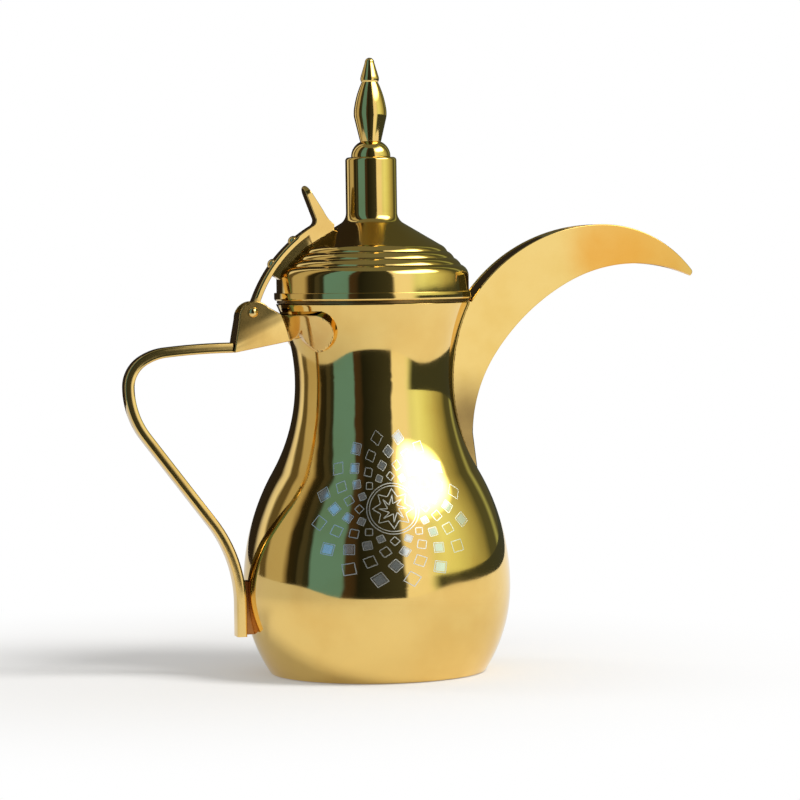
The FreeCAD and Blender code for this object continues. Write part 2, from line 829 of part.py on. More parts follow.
for y_side, z_side, first in ((-1, -1, "x"), (1, -1, "y"), (1, 1, "x"), (-1, 1, "y")):
    far = (f"({y_side} * {half_wide})", f"({handle_root[1]} + {z_side} * {half_thick})")
    near = (
        f"({y_side} * ({half_wide} - {corner}))",
        f"({handle_root[1]} + {z_side} * ({half_thick} - {corner}))",
    )
    pair = [(far[0], near[1]), (near[0], far[1])]
    rounded += pair if first == "x" else pair[::-1]
draw(section, rounded, {0: (corner, 1), 2: (corner, 1), 4: (corner, 1), 6: (corner, 1)})
doc.recompute()
sweep = handle_bar.newObject("PartDesign::AdditivePipe", "handle_sweep")
sweep.Profile = section
sweep.Spine = (path, [f"Edge{i + 1}" for i in range(7)])
doc.recompute()
tenon = new_sketch(handle_bar)
tenon_low = f"({handle_root[1]} - {dim.tenon_height} / 2)"
tenon_high = f"({handle_root[1]} + {dim.tenon_height} / 2)"
tenon_start = f"({handle_root[0]} - {dim.handle_round})"
tenon_end = f"({handle_root[0]} + {dim.tenon_length})"
draw(
    tenon,
    [(tenon_start, tenon_low), (tenon_end, tenon_low), (tenon_end, tenon_high), (tenon_start, tenon_high)],
)
pad(handle_bar, tenon, dim.tenon_width)

# Handle foot: the block between the bar's end and the belly takes the shape of both
foot_low = f"({dim.handle_end} + {dim.foot_rise})"
foot_high = f"({dim.handle_end} + {dim.foot_height})"
inside_belly = f"({dim.root_overlap} - {dim.belly_radius})"
foot_block = plate(
    "foot_block",
    [(foot_x, foot_low), (inside_belly, foot_low), (inside_belly, foot_high), (foot_x, foot_high)],
    None,
    dim.foot_width,
)
foot_seat = combine("Cut", "foot_seat", foot_block, vessel_form)
handle_foot = combine("Cut", "handle_foot", foot_seat, handle_bar)

# Lid: heights from the mouth up

lid_low = f"({dim.mouth_height} + {dim.lid_gap})"
dome_low = f"({lid_low} + {dim.plug_flange})"
dome_radius = f"({dim.mouth_radius} - {dim.lid_inset})"
lid_wall = dim.lid_wall
band_top = f"({dome_low} + {dim.band_height})"
shoulder_rise = f"sqrt({dim.shoulder_arc} ^ 2 - ({dim.shoulder_arc} - {dim.shoulder_drop}) ^ 2)"
shoulder = (f"({dome_radius} - {dim.shoulder_drop})", f"({band_top} + {shoulder_rise})")
beads = [
    (f"({shoulder[0]} - {n} * {dim.bead_step})", f"({shoulder[1]} + {n} * {dim.bead_step})")
    for n in range(1, 4)
]
dome_slope = dim.dome_slope
collar_arc = dim.collar_arc
collar = (
    f"({dim.chimney_radius} + {collar_arc} * (1 - sin({dome_slope})))",
    f"({beads[-1][1]} + ({beads[-1][0]} - {dim.chimney_radius} - {collar_arc} * (1 - sin({dome_slope})))"
    f" * tan({dome_slope}))",
)
dome_top = f"({collar[1]} + {collar_arc} * cos({dome_slope}))"
chimney_bore = f"({dim.chimney_radius} - {lid_wall})"
dome_outer = [
    (dome_radius, dome_low),
    (dome_radius, band_top),
    shoulder,
    *beads,
    collar,
    (dim.chimney_radius, dome_top),
]
dome_bends = {
    1: (dim.shoulder_arc, 1),
    2: (dim.bead_arc, 1),
    3: (dim.bead_arc, 1),
    4: (dim.bead_arc, 1),
    6: (collar_arc, -1),
}
inner_shoulder_arc = f"({dim.shoulder_arc} - {lid_wall})"
inner_share = f"({inner_shoulder_arc} / {dim.shoulder_arc})"
inner_shoulder = (
    f"({dome_radius} - {dim.shoulder_arc} + ({dim.shoulder_arc} - {dim.shoulder_drop}) * {inner_share})",
    f"({band_top} + {shoulder_rise} * {inner_share})",
)
inner_collar = (
    f"({collar[0]} - {lid_wall} * sin({dome_slope}))",
    f"({collar[1]} - {lid_wall} * cos({dome_slope}))",
)
inner_bead = (
    f"({beads[-1][0]} - {lid_wall} * sin({dome_slope}))",
    f"({beads[-1][1]} - {lid_wall} * cos({dome_slope}))",
)
dome_inner = [
    (chimney_bore, dome_top),
    inner_collar,
    inner_bead,
    inner_shoulder,
    (f"({dome_radius} - {lid_wall})", band_top),
    (f"({dome_radius} - {lid_wall})", dome_low),
]
dome_blank = turned(
    "dome_blank",
    dome_outer + dome_inner,
    {
        **dome_bends,
        8: (f"({collar_arc} + {lid_wall})", 1),
        11: (inner_shoulder_arc, -1),
    },
)

# Solid outlines of the dome and of the hollow in it, that trim the lever and its rivets
lid_form = turned("lid_form", dome_outer + [("0", dome_top), ("0", dome_low)], dome_bends)
lid_hollow = turned(
    "lid_hollow",
    dome_inner + [("0", dome_low), ("0", dome_top)],
    {0: (f"({collar_arc} + {lid_wall})", 1), 3: (inner_shoulder_arc, -1)},
)

lip_outer = f"({dim.mouth_radius} + {dim.lip_overhang})"
lip_inner = f"({dome_radius} + {dim.seam_gap})"
lip_round = f"({lip_outer} - {lip_inner})"
lid_lip = turned(
    "lid_lip",
    [
        (lip_inner, dome_low),
        (lip_outer, f"({dome_low} + {lip_round})"),
        (lip_outer, f"({dome_low} + {dim.lip_height} - {dim.lip_chamfer})"),
        (f"({lip_outer} - {dim.lip_chamfer})", f"({dome_low} + {dim.lip_height})"),
        (lip_inner, f"({dome_low} + {dim.lip_height})"),
    ],
    {0: (lip_round, 1)},
)

plug_low = f"({lid_low} - {dim.plug_depth})"
plug_radius = f"({neck_radius(plug_low, f'(-{wall})')} - {dim.plug_clearance})"
lid_plug = turned(
    "lid_plug",
    [
        (f"({plug_radius} - {lid_wall})", plug_low),
        (plug_radius, plug_low),
        (plug_radius, lid_low),
        (f"({dim.mouth_radius} - {dim.flange_inset})", lid_low),
        (f"({dim.mouth_radius} - {dim.flange_inset})", dome_low),
        (f"({plug_radius} - {lid_wall})", dome_low),
    ],
)

chimney_top = f"({dome_top} + {dim.chimney_height})"
rod_bore = f"({dim.rod_radius} + {dim.rod_gap})"
lid_chimney = turned(
    "lid_chimney",
    [
        (chimney_bore, dome_top),
        (dim.chimney_radius, dome_top),
        (dim.chimney_radius, f"({chimney_top} - {dim.chimney_round})"),
        (f"({dim.chimney_radius} - {dim.chimney_round})", chimney_top),
        (rod_bore, chimney_top),
        (rod_bore, f"({chimney_top} - {lid_wall})"),
        (chimney_bore, f"({chimney_top} - {lid_wall})"),
    ],
    {2: (dim.chimney_round, 1)},
)

# Finial: cup, baluster and tip threaded on one rod

cup_top = f"({chimney_top} + {dim.cup_height})"
finial_cup = turned(
    "finial_cup",
    [
        (rod_bore, chimney_top),
        (dim.cup_radius, chimney_top),
        (dim.cup_radius, f"({chimney_top} + {dim.cup_edge})"),
        (dim.baluster_foot, cup_top),
        (rod_bore, cup_top),
    ],
    {2: (dim.cup_arc, 1)},
)

baluster_mid = f"({cup_top} + {dim.baluster_low})"
baluster_top = f"({cup_top} + {dim.baluster_height})"
swell = f"({dim.baluster_radius} - {dim.baluster_foot})"
swell_arc = f"(({dim.baluster_low} ^ 2 + {swell} ^ 2) / (4 * {swell}))"
finial_baluster = turned(
    "finial_baluster",
    [
        (rod_bore, cup_top),
        (dim.baluster_foot, cup_top),
        (f"({dim.baluster_foot} + {swell} / 2)", f"({cup_top} + {dim.baluster_low} / 2)"),
        (dim.baluster_radius, baluster_mid),
        (dim.baluster_neck, baluster_top),
        (rod_bore, baluster_top),
    ],
    {1: (swell_arc, -1), 2: (swell_arc, 1), 3: (dim.baluster_arc, 1)},
)

tip_top = f"({baluster_top} + {dim.tip_height})"
tip_shoulder = f"({tip_top} - {dim.tip_round})"
rod_top = f"({baluster_top} + {dim.rod_grip})"
finial_tip = turned(
    "finial_tip",
    [
        (rod_bore, baluster_top),
        (dim.baluster_neck, baluster_top),
        (dim.tip_ring, f"({baluster_top} + {dim.tip_ring_height})"),
        (dim.tip_round, tip_shoulder),
        ("0", tip_top),
        ("0", f"({rod_top} + {dim.rod_gap})"),
        (rod_bore, f"({rod_top} + {dim.rod_gap})"),
    ],
    {1: (dim.tip_ring_arc, 1), 3: (dim.tip_round, 1)},
)

washer_top = f"({chimney_top} - {lid_wall})"
washer_low = f"({washer_top} - {dim.washer_thickness})"
finial_rod = turned(
    "finial_rod",
    [
        ("0", f"({washer_top} - {dim.rod_tail})"),
        (dim.rod_radius, f"({washer_top} - {dim.rod_tail})"),
        (dim.rod_radius, rod_top),
        ("0", rod_top),
    ],
)
finial_washer = turned(
    "finial_washer",
    [
        (rod_bore, washer_low),
        (dim.washer_radius, washer_low),
        (dim.washer_radius, washer_top),
        (rod_bore, washer_top),
    ],
)
nut_blank = doc.addObject("Part::Prism", "nut_blank")
nut_blank.Polygon = 6
nut_blank.setExpression("Circumradius", f"{dim.nut_flats} / sqrt(3)")
nut_blank.setExpression("Height", dim.nut_height)
nut_blank.setExpression("Placement.Base.z", f"{washer_low} - {dim.nut_height}")
nut_bore = doc.addObject("Part::Cylinder", "nut_bore")
nut_bore.setExpression("Radius", rod_bore)
nut_bore.setExpression("Height", dim.nut_height)
nut_bore.setExpression("Placement.Base.z", f"{washer_low} - {dim.nut_height}")
finial_nut = combine("Cut", "finial_nut", nut_blank, nut_bore)

# Lid lever: knuckle, arched strap, heel on the dome and thumb tab, with a rib that seats on the beads

knuckle_outer = f"sqrt({dim.knuckle_radius} ^ 2 - {dim.lever_offset} ^ 2)"
under_offset = f"({dim.lever_offset} - {dim.lever_thickness})"
knuckle_inner = f"sqrt({dim.knuckle_radius} ^ 2 - {under_offset} ^ 2)"
bend = on_lever("0", dim.lever_end_angle)
tab_tip = (
    f"({bend[0]} + {dim.tab_length} * cos({dim.tab_angle}))",
    f"({bend[1]} + {dim.tab_length} * sin({dim.tab_angle}))",
)
tab_back = (
    f"({tab_tip[0]} + {dim.tab_thickness} * sin({dim.tab_angle}))",
    f"({tab_tip[1]} - {dim.tab_thickness} * cos({dim.tab_angle}))",
)
heel_start = on_lever(dim.lever_thickness, f"({dim.lever_end_angle} + {dim.heel_angle})")
heel_low = f"({bend[1]} - {dim.heel_depth})"
heel_end = f"({bend[0]} + {dim.heel_reach})"
lever_blank = plate(
    "lever_blank",
    [
        from_pin(knuckle_outer, dim.lever_offset, foot_angle),
        from_pin(knuckle_inner, under_offset, foot_angle),
        on_lever(dim.lever_thickness, foot_angle),
        heel_start,
        (f"({heel_start[0]} + {dim.heel_step})", f"({heel_start[1]} - {dim.heel_depth})"),
        (heel_end, heel_low),
        (heel_end, f"({bend[1]} - {dim.heel_edge})"),
        (f"({bend[0]} + {dim.gusset_reach})", f"({bend[1]} + {dim.gusset_rise})"),
        tab_back,
        tab_tip,
        bend,
        lever_start,
    ],
    {
        0: (dim.knuckle_radius, 1, "long"),
        2: (f"({dim.lever_arc} - {dim.lever_thickness})", -1),
        6: (dim.gusset_arc, -1),
        8: (dim.tab_round, 1),
        10: (dim.lever_arc, 1),
    },
    dim.lever_width,
)
round_corner(lever_blank, bend, dim.bend_round)
eye = new_sketch(lever_blank)
circle(eye, pin[0], pin[1], f"({dim.pin_radius} + {dim.pin_fit})")
pocket(lever_blank, eye, f"(2 * {dim.lever_width})")


def along_rivet(label, heading, radius, low, high):
    """Cylinder on a rivet's axis between two depths below the lever's outer face."""
    rod = doc.addObject("Part::Cylinder", label)
    rod.setExpression("Radius", radius)
    rod.setExpression("Height", f"{low} - {high}")
    spot = on_lever(low, heading)
    lean = FreeCAD.Rotation(FreeCAD.Vector(0, 1, 0), -value(heading))
    rod.Placement = FreeCAD.Placement(FreeCAD.Vector(value(spot[0]), 0, value(spot[1])), lean)
    doc.recompute()
    return rod


def flank_depth(heading):
    """Depth below the lever's outer face at which a rivet's axis comes out inside the dome."""
    x, y = on_lever("0", heading)
    run = (f"({inner_shoulder[0]} - {inner_bead[0]})", f"({inner_shoulder[1]} - {inner_bead[1]})")
    across = f"({run[1]} * ({inner_bead[0]} + {x}) - {run[0]} * ({inner_bead[1]} - {y}))"
    return f"({across} / ({run[0]} * cos({heading}) - {run[1]} * sin({heading})))"


RIVETS = ("low", "high")
headings = {name: getattr(dim, f"rivet_{name}_angle") for name in RIVETS}
lever_form = lever_blank
dome_form = dome_blank
half_strap = f"({dim.lever_thickness} / 2)"
rib = plate(
    "lever_rib",
    [
        on_lever(half_strap, dim.rib_low_angle),
        on_lever(dim.rib_reach, dim.rib_low_angle),
        on_lever(dim.rib_reach, dim.lever_end_angle),
        on_lever(half_strap, dim.lever_end_angle),
    ],
    {1: (f"({dim.lever_arc} - {dim.rib_reach})", -1), 3: (f"({dim.lever_arc} - {half_strap})", 1)},
    dim.rib_width,
)
lever_form = combine("Fuse", "lever_ribbed", lever_form, rib)
lever_form = combine("Cut", "lever_seated", lever_form, lid_form)
drill_radius = f"({dim.rivet_radius} + {dim.seam_gap})"
drill_low = f"(2 * {dim.rib_reach})"
drill_high = f"(-{dim.rivet_head_height})"
for name in RIVETS:
    drill = along_rivet(f"drill_{name}", headings[name], drill_radius, drill_low, drill_high)
    lever_form = combine("Cut", f"lever_drilled_{name}", lever_form, drill)
    dome_form = combine("Cut", f"dome_drilled_{name}", dome_form, drill)
lid_lever = lever_form
lid_lever.Label = "lid_lever"
lid_dome = dome_form
lid_dome.Label = "lid_dome"

# Rivets: domed head on the strap, shank through strap, rib and dome, tail closed over inside
rivets = []
head_height = dim.rivet_head_height
head_dome = f"(({dim.rivet_head_radius} ^ 2 + {head_height} ^ 2) / (2 * {head_height}))"
for name in RIVETS:
    heading = headings[name]
    seat = flank_depth(heading)
    tail_low = f"({seat} + {dim.rivet_tail_height})"
    tail_high = f"({seat} - {dim.rivet_tail_radius})"
    shank = along_rivet(f"shank_{name}", heading, dim.rivet_radius, tail_low, f"(-{head_height} / 3)")
    button = along_rivet(f"button_{name}", heading, dim.rivet_tail_radius, tail_low, tail_high)
    head = turned(
        f"rivet_head_{name}",
        [("0", "0"), (dim.rivet_head_radius, "0"), ("0", head_height)],
        {1: (head_dome, 1)},
    )
    spot = on_lever(f"(-{dim.seam_gap})", heading)
    head.Placement = FreeCAD.Placement(
        FreeCAD.Vector(value(spot[0]), 0, value(spot[1])),
        FreeCAD.Rotation(FreeCAD.Vector(0, 1, 0), -value(heading)),
    )
    doc.recompute()
    tail_button = combine("Common", f"tail_button_{name}", button, lid_hollow)
    blank = combine("Fuse", f"rivet_blank_{name}", shank, tail_button)
    rivets.append(combine("Fuse", f"rivet_{name}", blank, head))
lever_rivets = doc.addObject("Part::Compound", "lever_rivets")
lever_rivets.Links = rivets

NODES = [
    vessel_belly, vessel_neck, base_plate, cheeks["right"], cheeks["left"], spout_keel, spout_cover,
    neck_saddle, hinge_bracket, handle_bar, handle_foot, hinge_pin,
    lid_dome, lid_lip, lid_plug, lid_chimney,
    finial_cup, finial_baluster, finial_tip, finial_rod, finial_washer, finial_nut,
    lid_lever, lever_rivets,
]
doc.recompute()
for thing in doc.Objects:
    if "Invalid" in thing.State or "Error" in thing.State:
        raise RuntimeError(f"{thing.Label} did not build: {thing.State}")
for node in NODES:
    if node.Shape.isNull() or not node.Shape.isValid():
        raise RuntimeError(f"{node.Label} has no valid shape")

os.makedirs("parts", exist_ok=True)
for node in NODES:
    node.Shape.exportStep(f"parts/{node.Label}.step")
print(f"{len(NODES)} nodes, {sum(len(node.Shape.Solids) for node in NODES)} solids")
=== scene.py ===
import bmesh
import bpy
import math
from mathutils import Matrix, Vector


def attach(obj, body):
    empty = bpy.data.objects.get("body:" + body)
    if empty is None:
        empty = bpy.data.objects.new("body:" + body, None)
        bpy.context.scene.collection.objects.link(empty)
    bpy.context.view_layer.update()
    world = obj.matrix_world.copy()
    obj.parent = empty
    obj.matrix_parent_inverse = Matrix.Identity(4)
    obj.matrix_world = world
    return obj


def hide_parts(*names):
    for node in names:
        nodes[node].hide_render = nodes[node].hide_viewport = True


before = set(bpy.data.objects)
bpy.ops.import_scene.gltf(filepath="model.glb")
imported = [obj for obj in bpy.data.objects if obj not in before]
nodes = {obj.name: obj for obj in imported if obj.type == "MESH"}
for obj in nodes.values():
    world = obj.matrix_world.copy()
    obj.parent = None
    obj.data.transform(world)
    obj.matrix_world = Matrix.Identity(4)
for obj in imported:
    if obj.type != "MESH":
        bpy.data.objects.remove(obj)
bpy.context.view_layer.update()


# Vessel. One pear-shaped shell of sheet brass, raised in two halves and brazed at the turn of its
# curve, then planished, gold plated and polished to a mirror. Holes behind the spout strain the coffee.

MM = 0.001
BASE_RADIUS = 52.5
BELLY_RADIUS = 65.4
BELLY_HEIGHT = 42.4
WAIST_RADIUS = 38.7
WAIST_HEIGHT = 142.4
MOUTH_RADIUS = 47.4
MOUTH_HEIGHT = 180.6
WALL = 1.2
FOOT_GAP = 0.4

neck_rise = MOUTH_HEIGHT - WAIST_HEIGHT
flare = MOUTH_RADIUS - WAIST_RADIUS
fall = BELLY_RADIUS - WAIST_RADIUS
climb = WAIST_HEIGHT - BELLY_HEIGHT
bulge = BELLY_RADIUS - BASE_RADIUS
foot_arc = (BELLY_HEIGHT ** 2 + bulge ** 2) / (2 * bulge)
neck_arc = (neck_rise ** 2 + flare ** 2) / (2 * flare)
belly_arc = (fall ** 2 + climb ** 2) / (2 * fall) - neck_arc
turn_height = BELLY_HEIGHT + climb * belly_arc / (belly_arc + neck_arc)


def vessel_radius(height, inset=0.0):
    """Radius of the vessel's outside at a height, less an inset square to the wall."""
    if height <= BELLY_HEIGHT:
        return BELLY_RADIUS - foot_arc + math.sqrt((foot_arc - inset) ** 2 - (height - BELLY_HEIGHT) ** 2)
    if height <= turn_height:
        return BELLY_RADIUS - belly_arc + math.sqrt((belly_arc - inset) ** 2 - (height - BELLY_HEIGHT) ** 2)
    return WAIST_RADIUS + neck_arc - math.sqrt((neck_arc + inset) ** 2 - (height - WAIST_HEIGHT) ** 2)


def outline(corners, bends, rounds, step):
    """Points along a chain of lines and arcs, with chosen corners rounded.

    A bend is (radius, side): with side 1 the arc's centre lies left of its chord, with -1 right.
    """
    fewest_steps = 4
    widest_turn = math.radians(6)
    bow_steps = 5
    bends = bends or {}
    rounds = rounds or {}
    runs = []
    for i, start in enumerate(corners[:-1]):
        stop = corners[i + 1]
        run = [Vector(start)]
        if i in bends:
            radius, side = bends[i]
            chord = Vector(stop) - Vector(start)
            across = Vector((-chord.y, chord.x)).normalized() * side
            rise = math.sqrt(max(radius ** 2 - chord.length ** 2 / 4, 0))
            centre = Vector(start) + chord / 2 + across * rise
            sweep = 2 * math.asin(min(1, chord.length / 2 / radius)) * side
            by_length = math.ceil(abs(sweep) * radius / step)
            count = max(fewest_steps, by_length, math.ceil(abs(sweep) / widest_turn))
            arm = Vector(start) - centre
            for k in range(1, count):
                turn = sweep * k / count
                run.append(centre + Vector((
                    arm.x * math.cos(turn) - arm.y * math.sin(turn),
                    arm.x * math.sin(turn) + arm.y * math.cos(turn),
                )))
        run.append(Vector(stop))
        runs.append(run)
    closed = (Vector(corners[0]) - Vector(corners[-1])).length < 1e-6
    for i, radius in rounds.items():
        before = runs[i - 1]
        after = runs[i % len(runs)]
        corner = after[0].copy()
        head = cut_back(before[::-1], radius)[::-1]
        tail = cut_back(after, radius)
        bow = [bezier(head[-1], corner, tail[0], k / bow_steps) for k in range(1, bow_steps)]
        before[:] = head + bow + [tail[0]]
        after[:] = tail
    points = [runs[0][0]]
    for run in runs:
        points += run[1:]
    return points[:-1] if closed else points, closed


def cut_back(run, length):
    """The rest of a run of points once a length is taken off its start."""
    run = list(run)
    while (run[1] - run[0]).length < length and len(run) > 2:
        length -= (run[1] - run[0]).length
        run.pop(0)
    run[0] = run[0] + (run[1] - run[0]).normalized() * length
    return run


def bezier(start, corner, stop, share):
    """Point of a bow between two ends that leans to a corner."""
    return start * (1 - share) ** 2 + corner * 2 * share * (1 - share) + stop * share ** 2


class Wire:
    """A socket in a node tree: sums and products of wires add Math nodes, make() adds any other node."""

    def __init__(self, tree, socket=None):
        self.tree = tree
        self.socket = socket

    def make(self, kind, sockets=None, out=0, **settings):
        """The first output of a new node, or the one asked for. A kind is a node type without its family."""
        families = ("GeometryNode", "ShaderNode", "FunctionNode")
        family = next(family for family in families if hasattr(bpy.types, family + kind))
        node = self.tree.nodes.new(family + kind)
        for key, setting in settings.items():
            setattr(node, key, setting)
        for key, given in (sockets or {}).items():
            for value in given if isinstance(given, list) else [given]:
                if isinstance(value, Wire):
                    self.tree.links.new(value.socket, node.inputs[key])
                else:
                    node.inputs[key].default_value = value
        return Wire(self.tree, node.outputs[out] if node.outputs else None)

    def other(self, name):
        """Another output of the node that this wire comes from."""
        return Wire(self.tree, self.socket.node.outputs[name])

    def maths(self, operation, first, second=0.0):
        return self.make("Math", {0: first, 1: second}, operation=operation)

    def vector(self, x=0.0, y=0.0, z=0.0):
        return self.make("CombineXYZ", {"X": x, "Y": y, "Z": z})

    def measure(self, operation, first, second):
        """A number got from two vectors, such as their distance."""
        return self.make("VectorMath", {0: first, 1: second}, "Value", operation=operation)

    def __add__(self, other):
        return self.maths("ADD", self, other)

    def __sub__(self, other):
        return self.maths("SUBTRACT", self, other)

    def __rsub__(self, other):
        return self.maths("SUBTRACT", other, self)

    def __mul__(self, other):
        return self.maths("MULTIPLY", self, other)

    def __truediv__(self, other):
        return self.maths("DIVIDE", self, other)

    __radd__ = __add__
    __rmul__ = __mul__


def node_group(name, **inputs):
    """Pen for a new geometry tree with a mesh and named inputs in and a mesh out, and the inputs' wires."""
    tree = bpy.data.node_groups.new(name, "GeometryNodeTree")
    tree.interface.new_socket("Mesh", in_out="INPUT", socket_type="NodeSocketGeometry")
    for label, kind in inputs.items():
        tree.interface.new_socket(label, in_out="INPUT", socket_type=f"NodeSocket{kind}")
    tree.interface.new_socket("Mesh", in_out="OUTPUT", socket_type="NodeSocketGeometry")
    source = tree.nodes.new("NodeGroupInput")
    return Wire(tree), {socket.name: Wire(tree, socket) for socket in source.outputs if socket.name}


def end_group(pen, shape, material):
    """Ends a tree with real geometry that carries its material."""
    real = pen.make("RealizeInstances", {"Geometry": shape})
    dressed = pen.make("SetMaterial", {"Geometry": real, "Material": material})
    ending = pen.tree.nodes.new("NodeGroupOutput")
    pen.tree.links.new(dressed.socket, ending.inputs[0])
    return pen.tree


def new_object(name, data):
    """Object in the scene for a mesh, a camera or a lamp."""
    piece = bpy.data.objects.new(name, data)
    bpy.context.scene.collection.objects.link(piece)
    return piece


def grown(name, mesh, group, **values):
    """Plain mesh piece that a geometry tree makes from a mesh."""
    seed = new_object(f"{name}_seed", mesh)
    modifier = seed.modifiers.new("grow", "NODES")
    modifier.node_group = group
    for socket in group.interface.items_tree:
        if socket.name in values:
            modifier[socket.identifier] = values[socket.name]
    return settled(name, seed)


def settled(name, rough):
    """Plain mesh piece that takes the place of a rough object, with its modifiers worked in."""
    made = bpy.data.meshes.new_from_object(rough.evaluated_get(bpy.context.evaluated_depsgraph_get()))
    bpy.data.objects.remove(rough)
    made.name = name
    return new_object(name, made)


def soften(piece, angle=32):
    """Smooth shading with an edge only where the surface really turns."""
    piece.data.shade_smooth()
    piece.data.set_sharp_from_angle(angle=math.radians(angle))
    return piece


def blank_material(name):
    """New material with an empty tree, and a pen to draw in it."""
    material = bpy.data.materials.new(name)
    material.use_nodes = True
    material.node_tree.nodes.clear()
    return material, Wire(material.node_tree)


def noise(pen, place, scale, detail, roughness=0.5):
    """Cloudy pattern from 0 to 1."""
    sockets = {"Vector": place, "Scale": scale, "Detail": detail, "Roughness": roughness}
    return pen.make("TexNoise", sockets)


def soft_step(pen, value, low, high, first=0.0, last=1.0):
    """Smooth change from a first value to a last one while a wire goes from low to high."""
    return pen.make(
        "MapRange", {"Value": value, "From Min": low, "From Max": high, "To Min": first, "To Max": last},
        interpolation_type="SMOOTHSTEP",
    )


def mixed(pen, share, first, second):
    """Colour that goes from a first colour to a second one with a share."""
    return pen.make("Mix", {"Factor": share, 6: first, 7: second}, 2, data_type="RGBA")


def gold(name, light, deep, roughness, haze, grain, ripple, stains_and_shade=()):
    """Polished gold plate: cloudy handling haze, fine polishing lines and the faint ripple of worked metal.

    A spot is its place, its reach, its colour and how much it dulls the polish. Spots make real stains,
    and also painted shade.
    """
    material, pen = blank_material(name)
    place = pen.make("TexCoord", out="Object")
    lines_at = pen.make("Mapping", {"Vector": place, "Scale": grain})
    cloud = noise(pen, place, scale=21, detail=4, roughness=0.55)
    lines = noise(pen, lines_at, scale=1, detail=3, roughness=0.6)
    wave = noise(pen, place, scale=85, detail=1, roughness=0.4)
    speck = noise(pen, place, scale=900, detail=2, roughness=0.6)
    worn = soft_step(pen, cloud, 0.42, 0.68)
    colour = mixed(pen, worn, (*light, 1), (*deep, 1))
    rough = roughness + worn * haze + lines * (haze * 0.5) + speck * (haze * 0.25)
    # Each spot mixes in its colour: a real stain, and at the spout's root painted shade.
    for spot, reach, spot_tone, dulling in stains_and_shade:
        away = pen.measure("DISTANCE", place, spot)
        near = soft_step(pen, away, reach * 0.3, reach, first=1, last=0)
        spot_share = near * (0.7 + worn * 0.3)
        colour = mixed(pen, spot_share, colour, (*spot_tone, 1))
        rough = rough + spot_share * dulling
    height = wave * ripple + lines * (ripple * 0.03) + speck * (ripple * 0.012)
    end_metal(pen, colour, 1.0, rough, height)
    return material


def end_metal(pen, colour, metallic, roughness, height):
    """Ends a material as a metal with a fine relief."""
    bump = pen.make("Bump", {"Height": height, "Distance": 1})
    shader = pen.make(
        "BsdfPrincipled",
        {"Base Color": colour, "Metallic": metallic, "Roughness": roughness, "Normal": bump},
    )
    pen.make("OutputMaterial", {"Surface": shader})


LIGHT_GOLD = (0.88, 0.62, 0.205)
DEEP_GOLD = (0.83, 0.55, 0.165)
spun_gold = gold(
    "spun_gold", LIGHT_GOLD, DEEP_GOLD, roughness=0.03, haze=0.05, grain=(160, 160, 2600), ripple=0.000022
)


def turned_group():
    """Tree that turns a half section about the upright axis in a number of steps."""
    pen, wires = node_group("turned_section", Steps="Int", Finish="Material")
    rail_radius = 1.0
    section = pen.make("MeshToCurve", {"Mesh": wires["Mesh"]})
    place = pen.make("InputPosition")
    parts = pen.make("SeparateXYZ", {0: place})
    laid = pen.vector(parts - rail_radius, -1 * parts.other("Z"))
    section = pen.make("SetPosition", {"Geometry": section, "Position": laid})
    rail = pen.make("CurvePrimitiveCircle", {"Resolution": wires["Steps"], "Radius": rail_radius})
    rail = pen.make("SetCurveNormal", {"Curve": rail}, mode="Z_UP")
    shell = pen.make("CurveToMesh", {"Curve": rail, "Profile Curve": section})
    shell = pen.make("MergeByDistance", {"Geometry": shell, "Distance": 1e-6})
    return end_group(pen, shell, wires["Finish"])


TURNED = turned_group()


def upright_line(name, points, closed=False):
    """Mesh of a line through points in the upright plane of the spout and the handle, in millimetres."""
    mesh = bpy.data.meshes.new(name)
    edges = [(i, i + 1) for i in range(len(points) - 1)]
    if closed:
        edges.append((len(points) - 1, 0))
    mesh.from_pydata([(p.x * MM, 0, p.y * MM) for p in points], edges, [])
    return mesh


def turned(name, finish, corners, bends=None, rounds=None, step=0.7, steps=160):
    """Piece turned from the outline of its half section (radius, height) in millimetres."""
    points, closed = outline(corners, bends, rounds, step)
    section = upright_line(f"{name}_section", points, closed)
    piece = grown(name, section, TURNED, Steps=steps, Finish=finish)
    face_outwards(piece.data)
    return soften(piece)


def face_outwards(mesh):
    """Turns a closed mesh the right way out."""
    work = bmesh.new()
    work.from_mesh(mesh)
    if work.calc_volume(signed=True) < 0:
        bmesh.ops.reverse_faces(work, faces=work.faces[:])
    work.to_mesh(mesh)
    work.free()


def dress(piece, body, slot, *replaced):
    """Hangs a finished piece on its body and hides the solids that it stands for; its slot is not used."""
    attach(piece, body)
    if replaced:
        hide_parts(*replaced)


turn_in = (belly_arc - WALL) / (belly_arc + neck_arc)
run_in = WAIST_RADIUS + neck_arc - BELLY_RADIUS + belly_arc
blank = turned(
    "vessel_blank", spun_gold,
    [
        (vessel_radius(FOOT_GAP, WALL), FOOT_GAP),
        (vessel_radius(FOOT_GAP), FOOT_GAP),
        (BELLY_RADIUS, BELLY_HEIGHT),
        (vessel_radius(turn_height), turn_height),
        (MOUTH_RADIUS, MOUTH_HEIGHT),
        (vessel_radius(MOUTH_HEIGHT, WALL), MOUTH_HEIGHT),
        (BELLY_RADIUS - belly_arc + run_in * turn_in, BELLY_HEIGHT + climb * turn_in),
        (BELLY_RADIUS - WALL, BELLY_HEIGHT),
        (vessel_radius(FOOT_GAP, WALL), FOOT_GAP),
    ],
    {
        1: (foot_arc, 1),
        2: (belly_arc, 1),
        3: (neck_arc, -1),
        5: (neck_arc + WALL, 1),
        6: (belly_arc - WALL, -1),
        7: (foot_arc - WALL, -1),
    },
    {1: 0.25, 4: 0.4, 5: 0.4},
    step=1.4, steps=240,
)


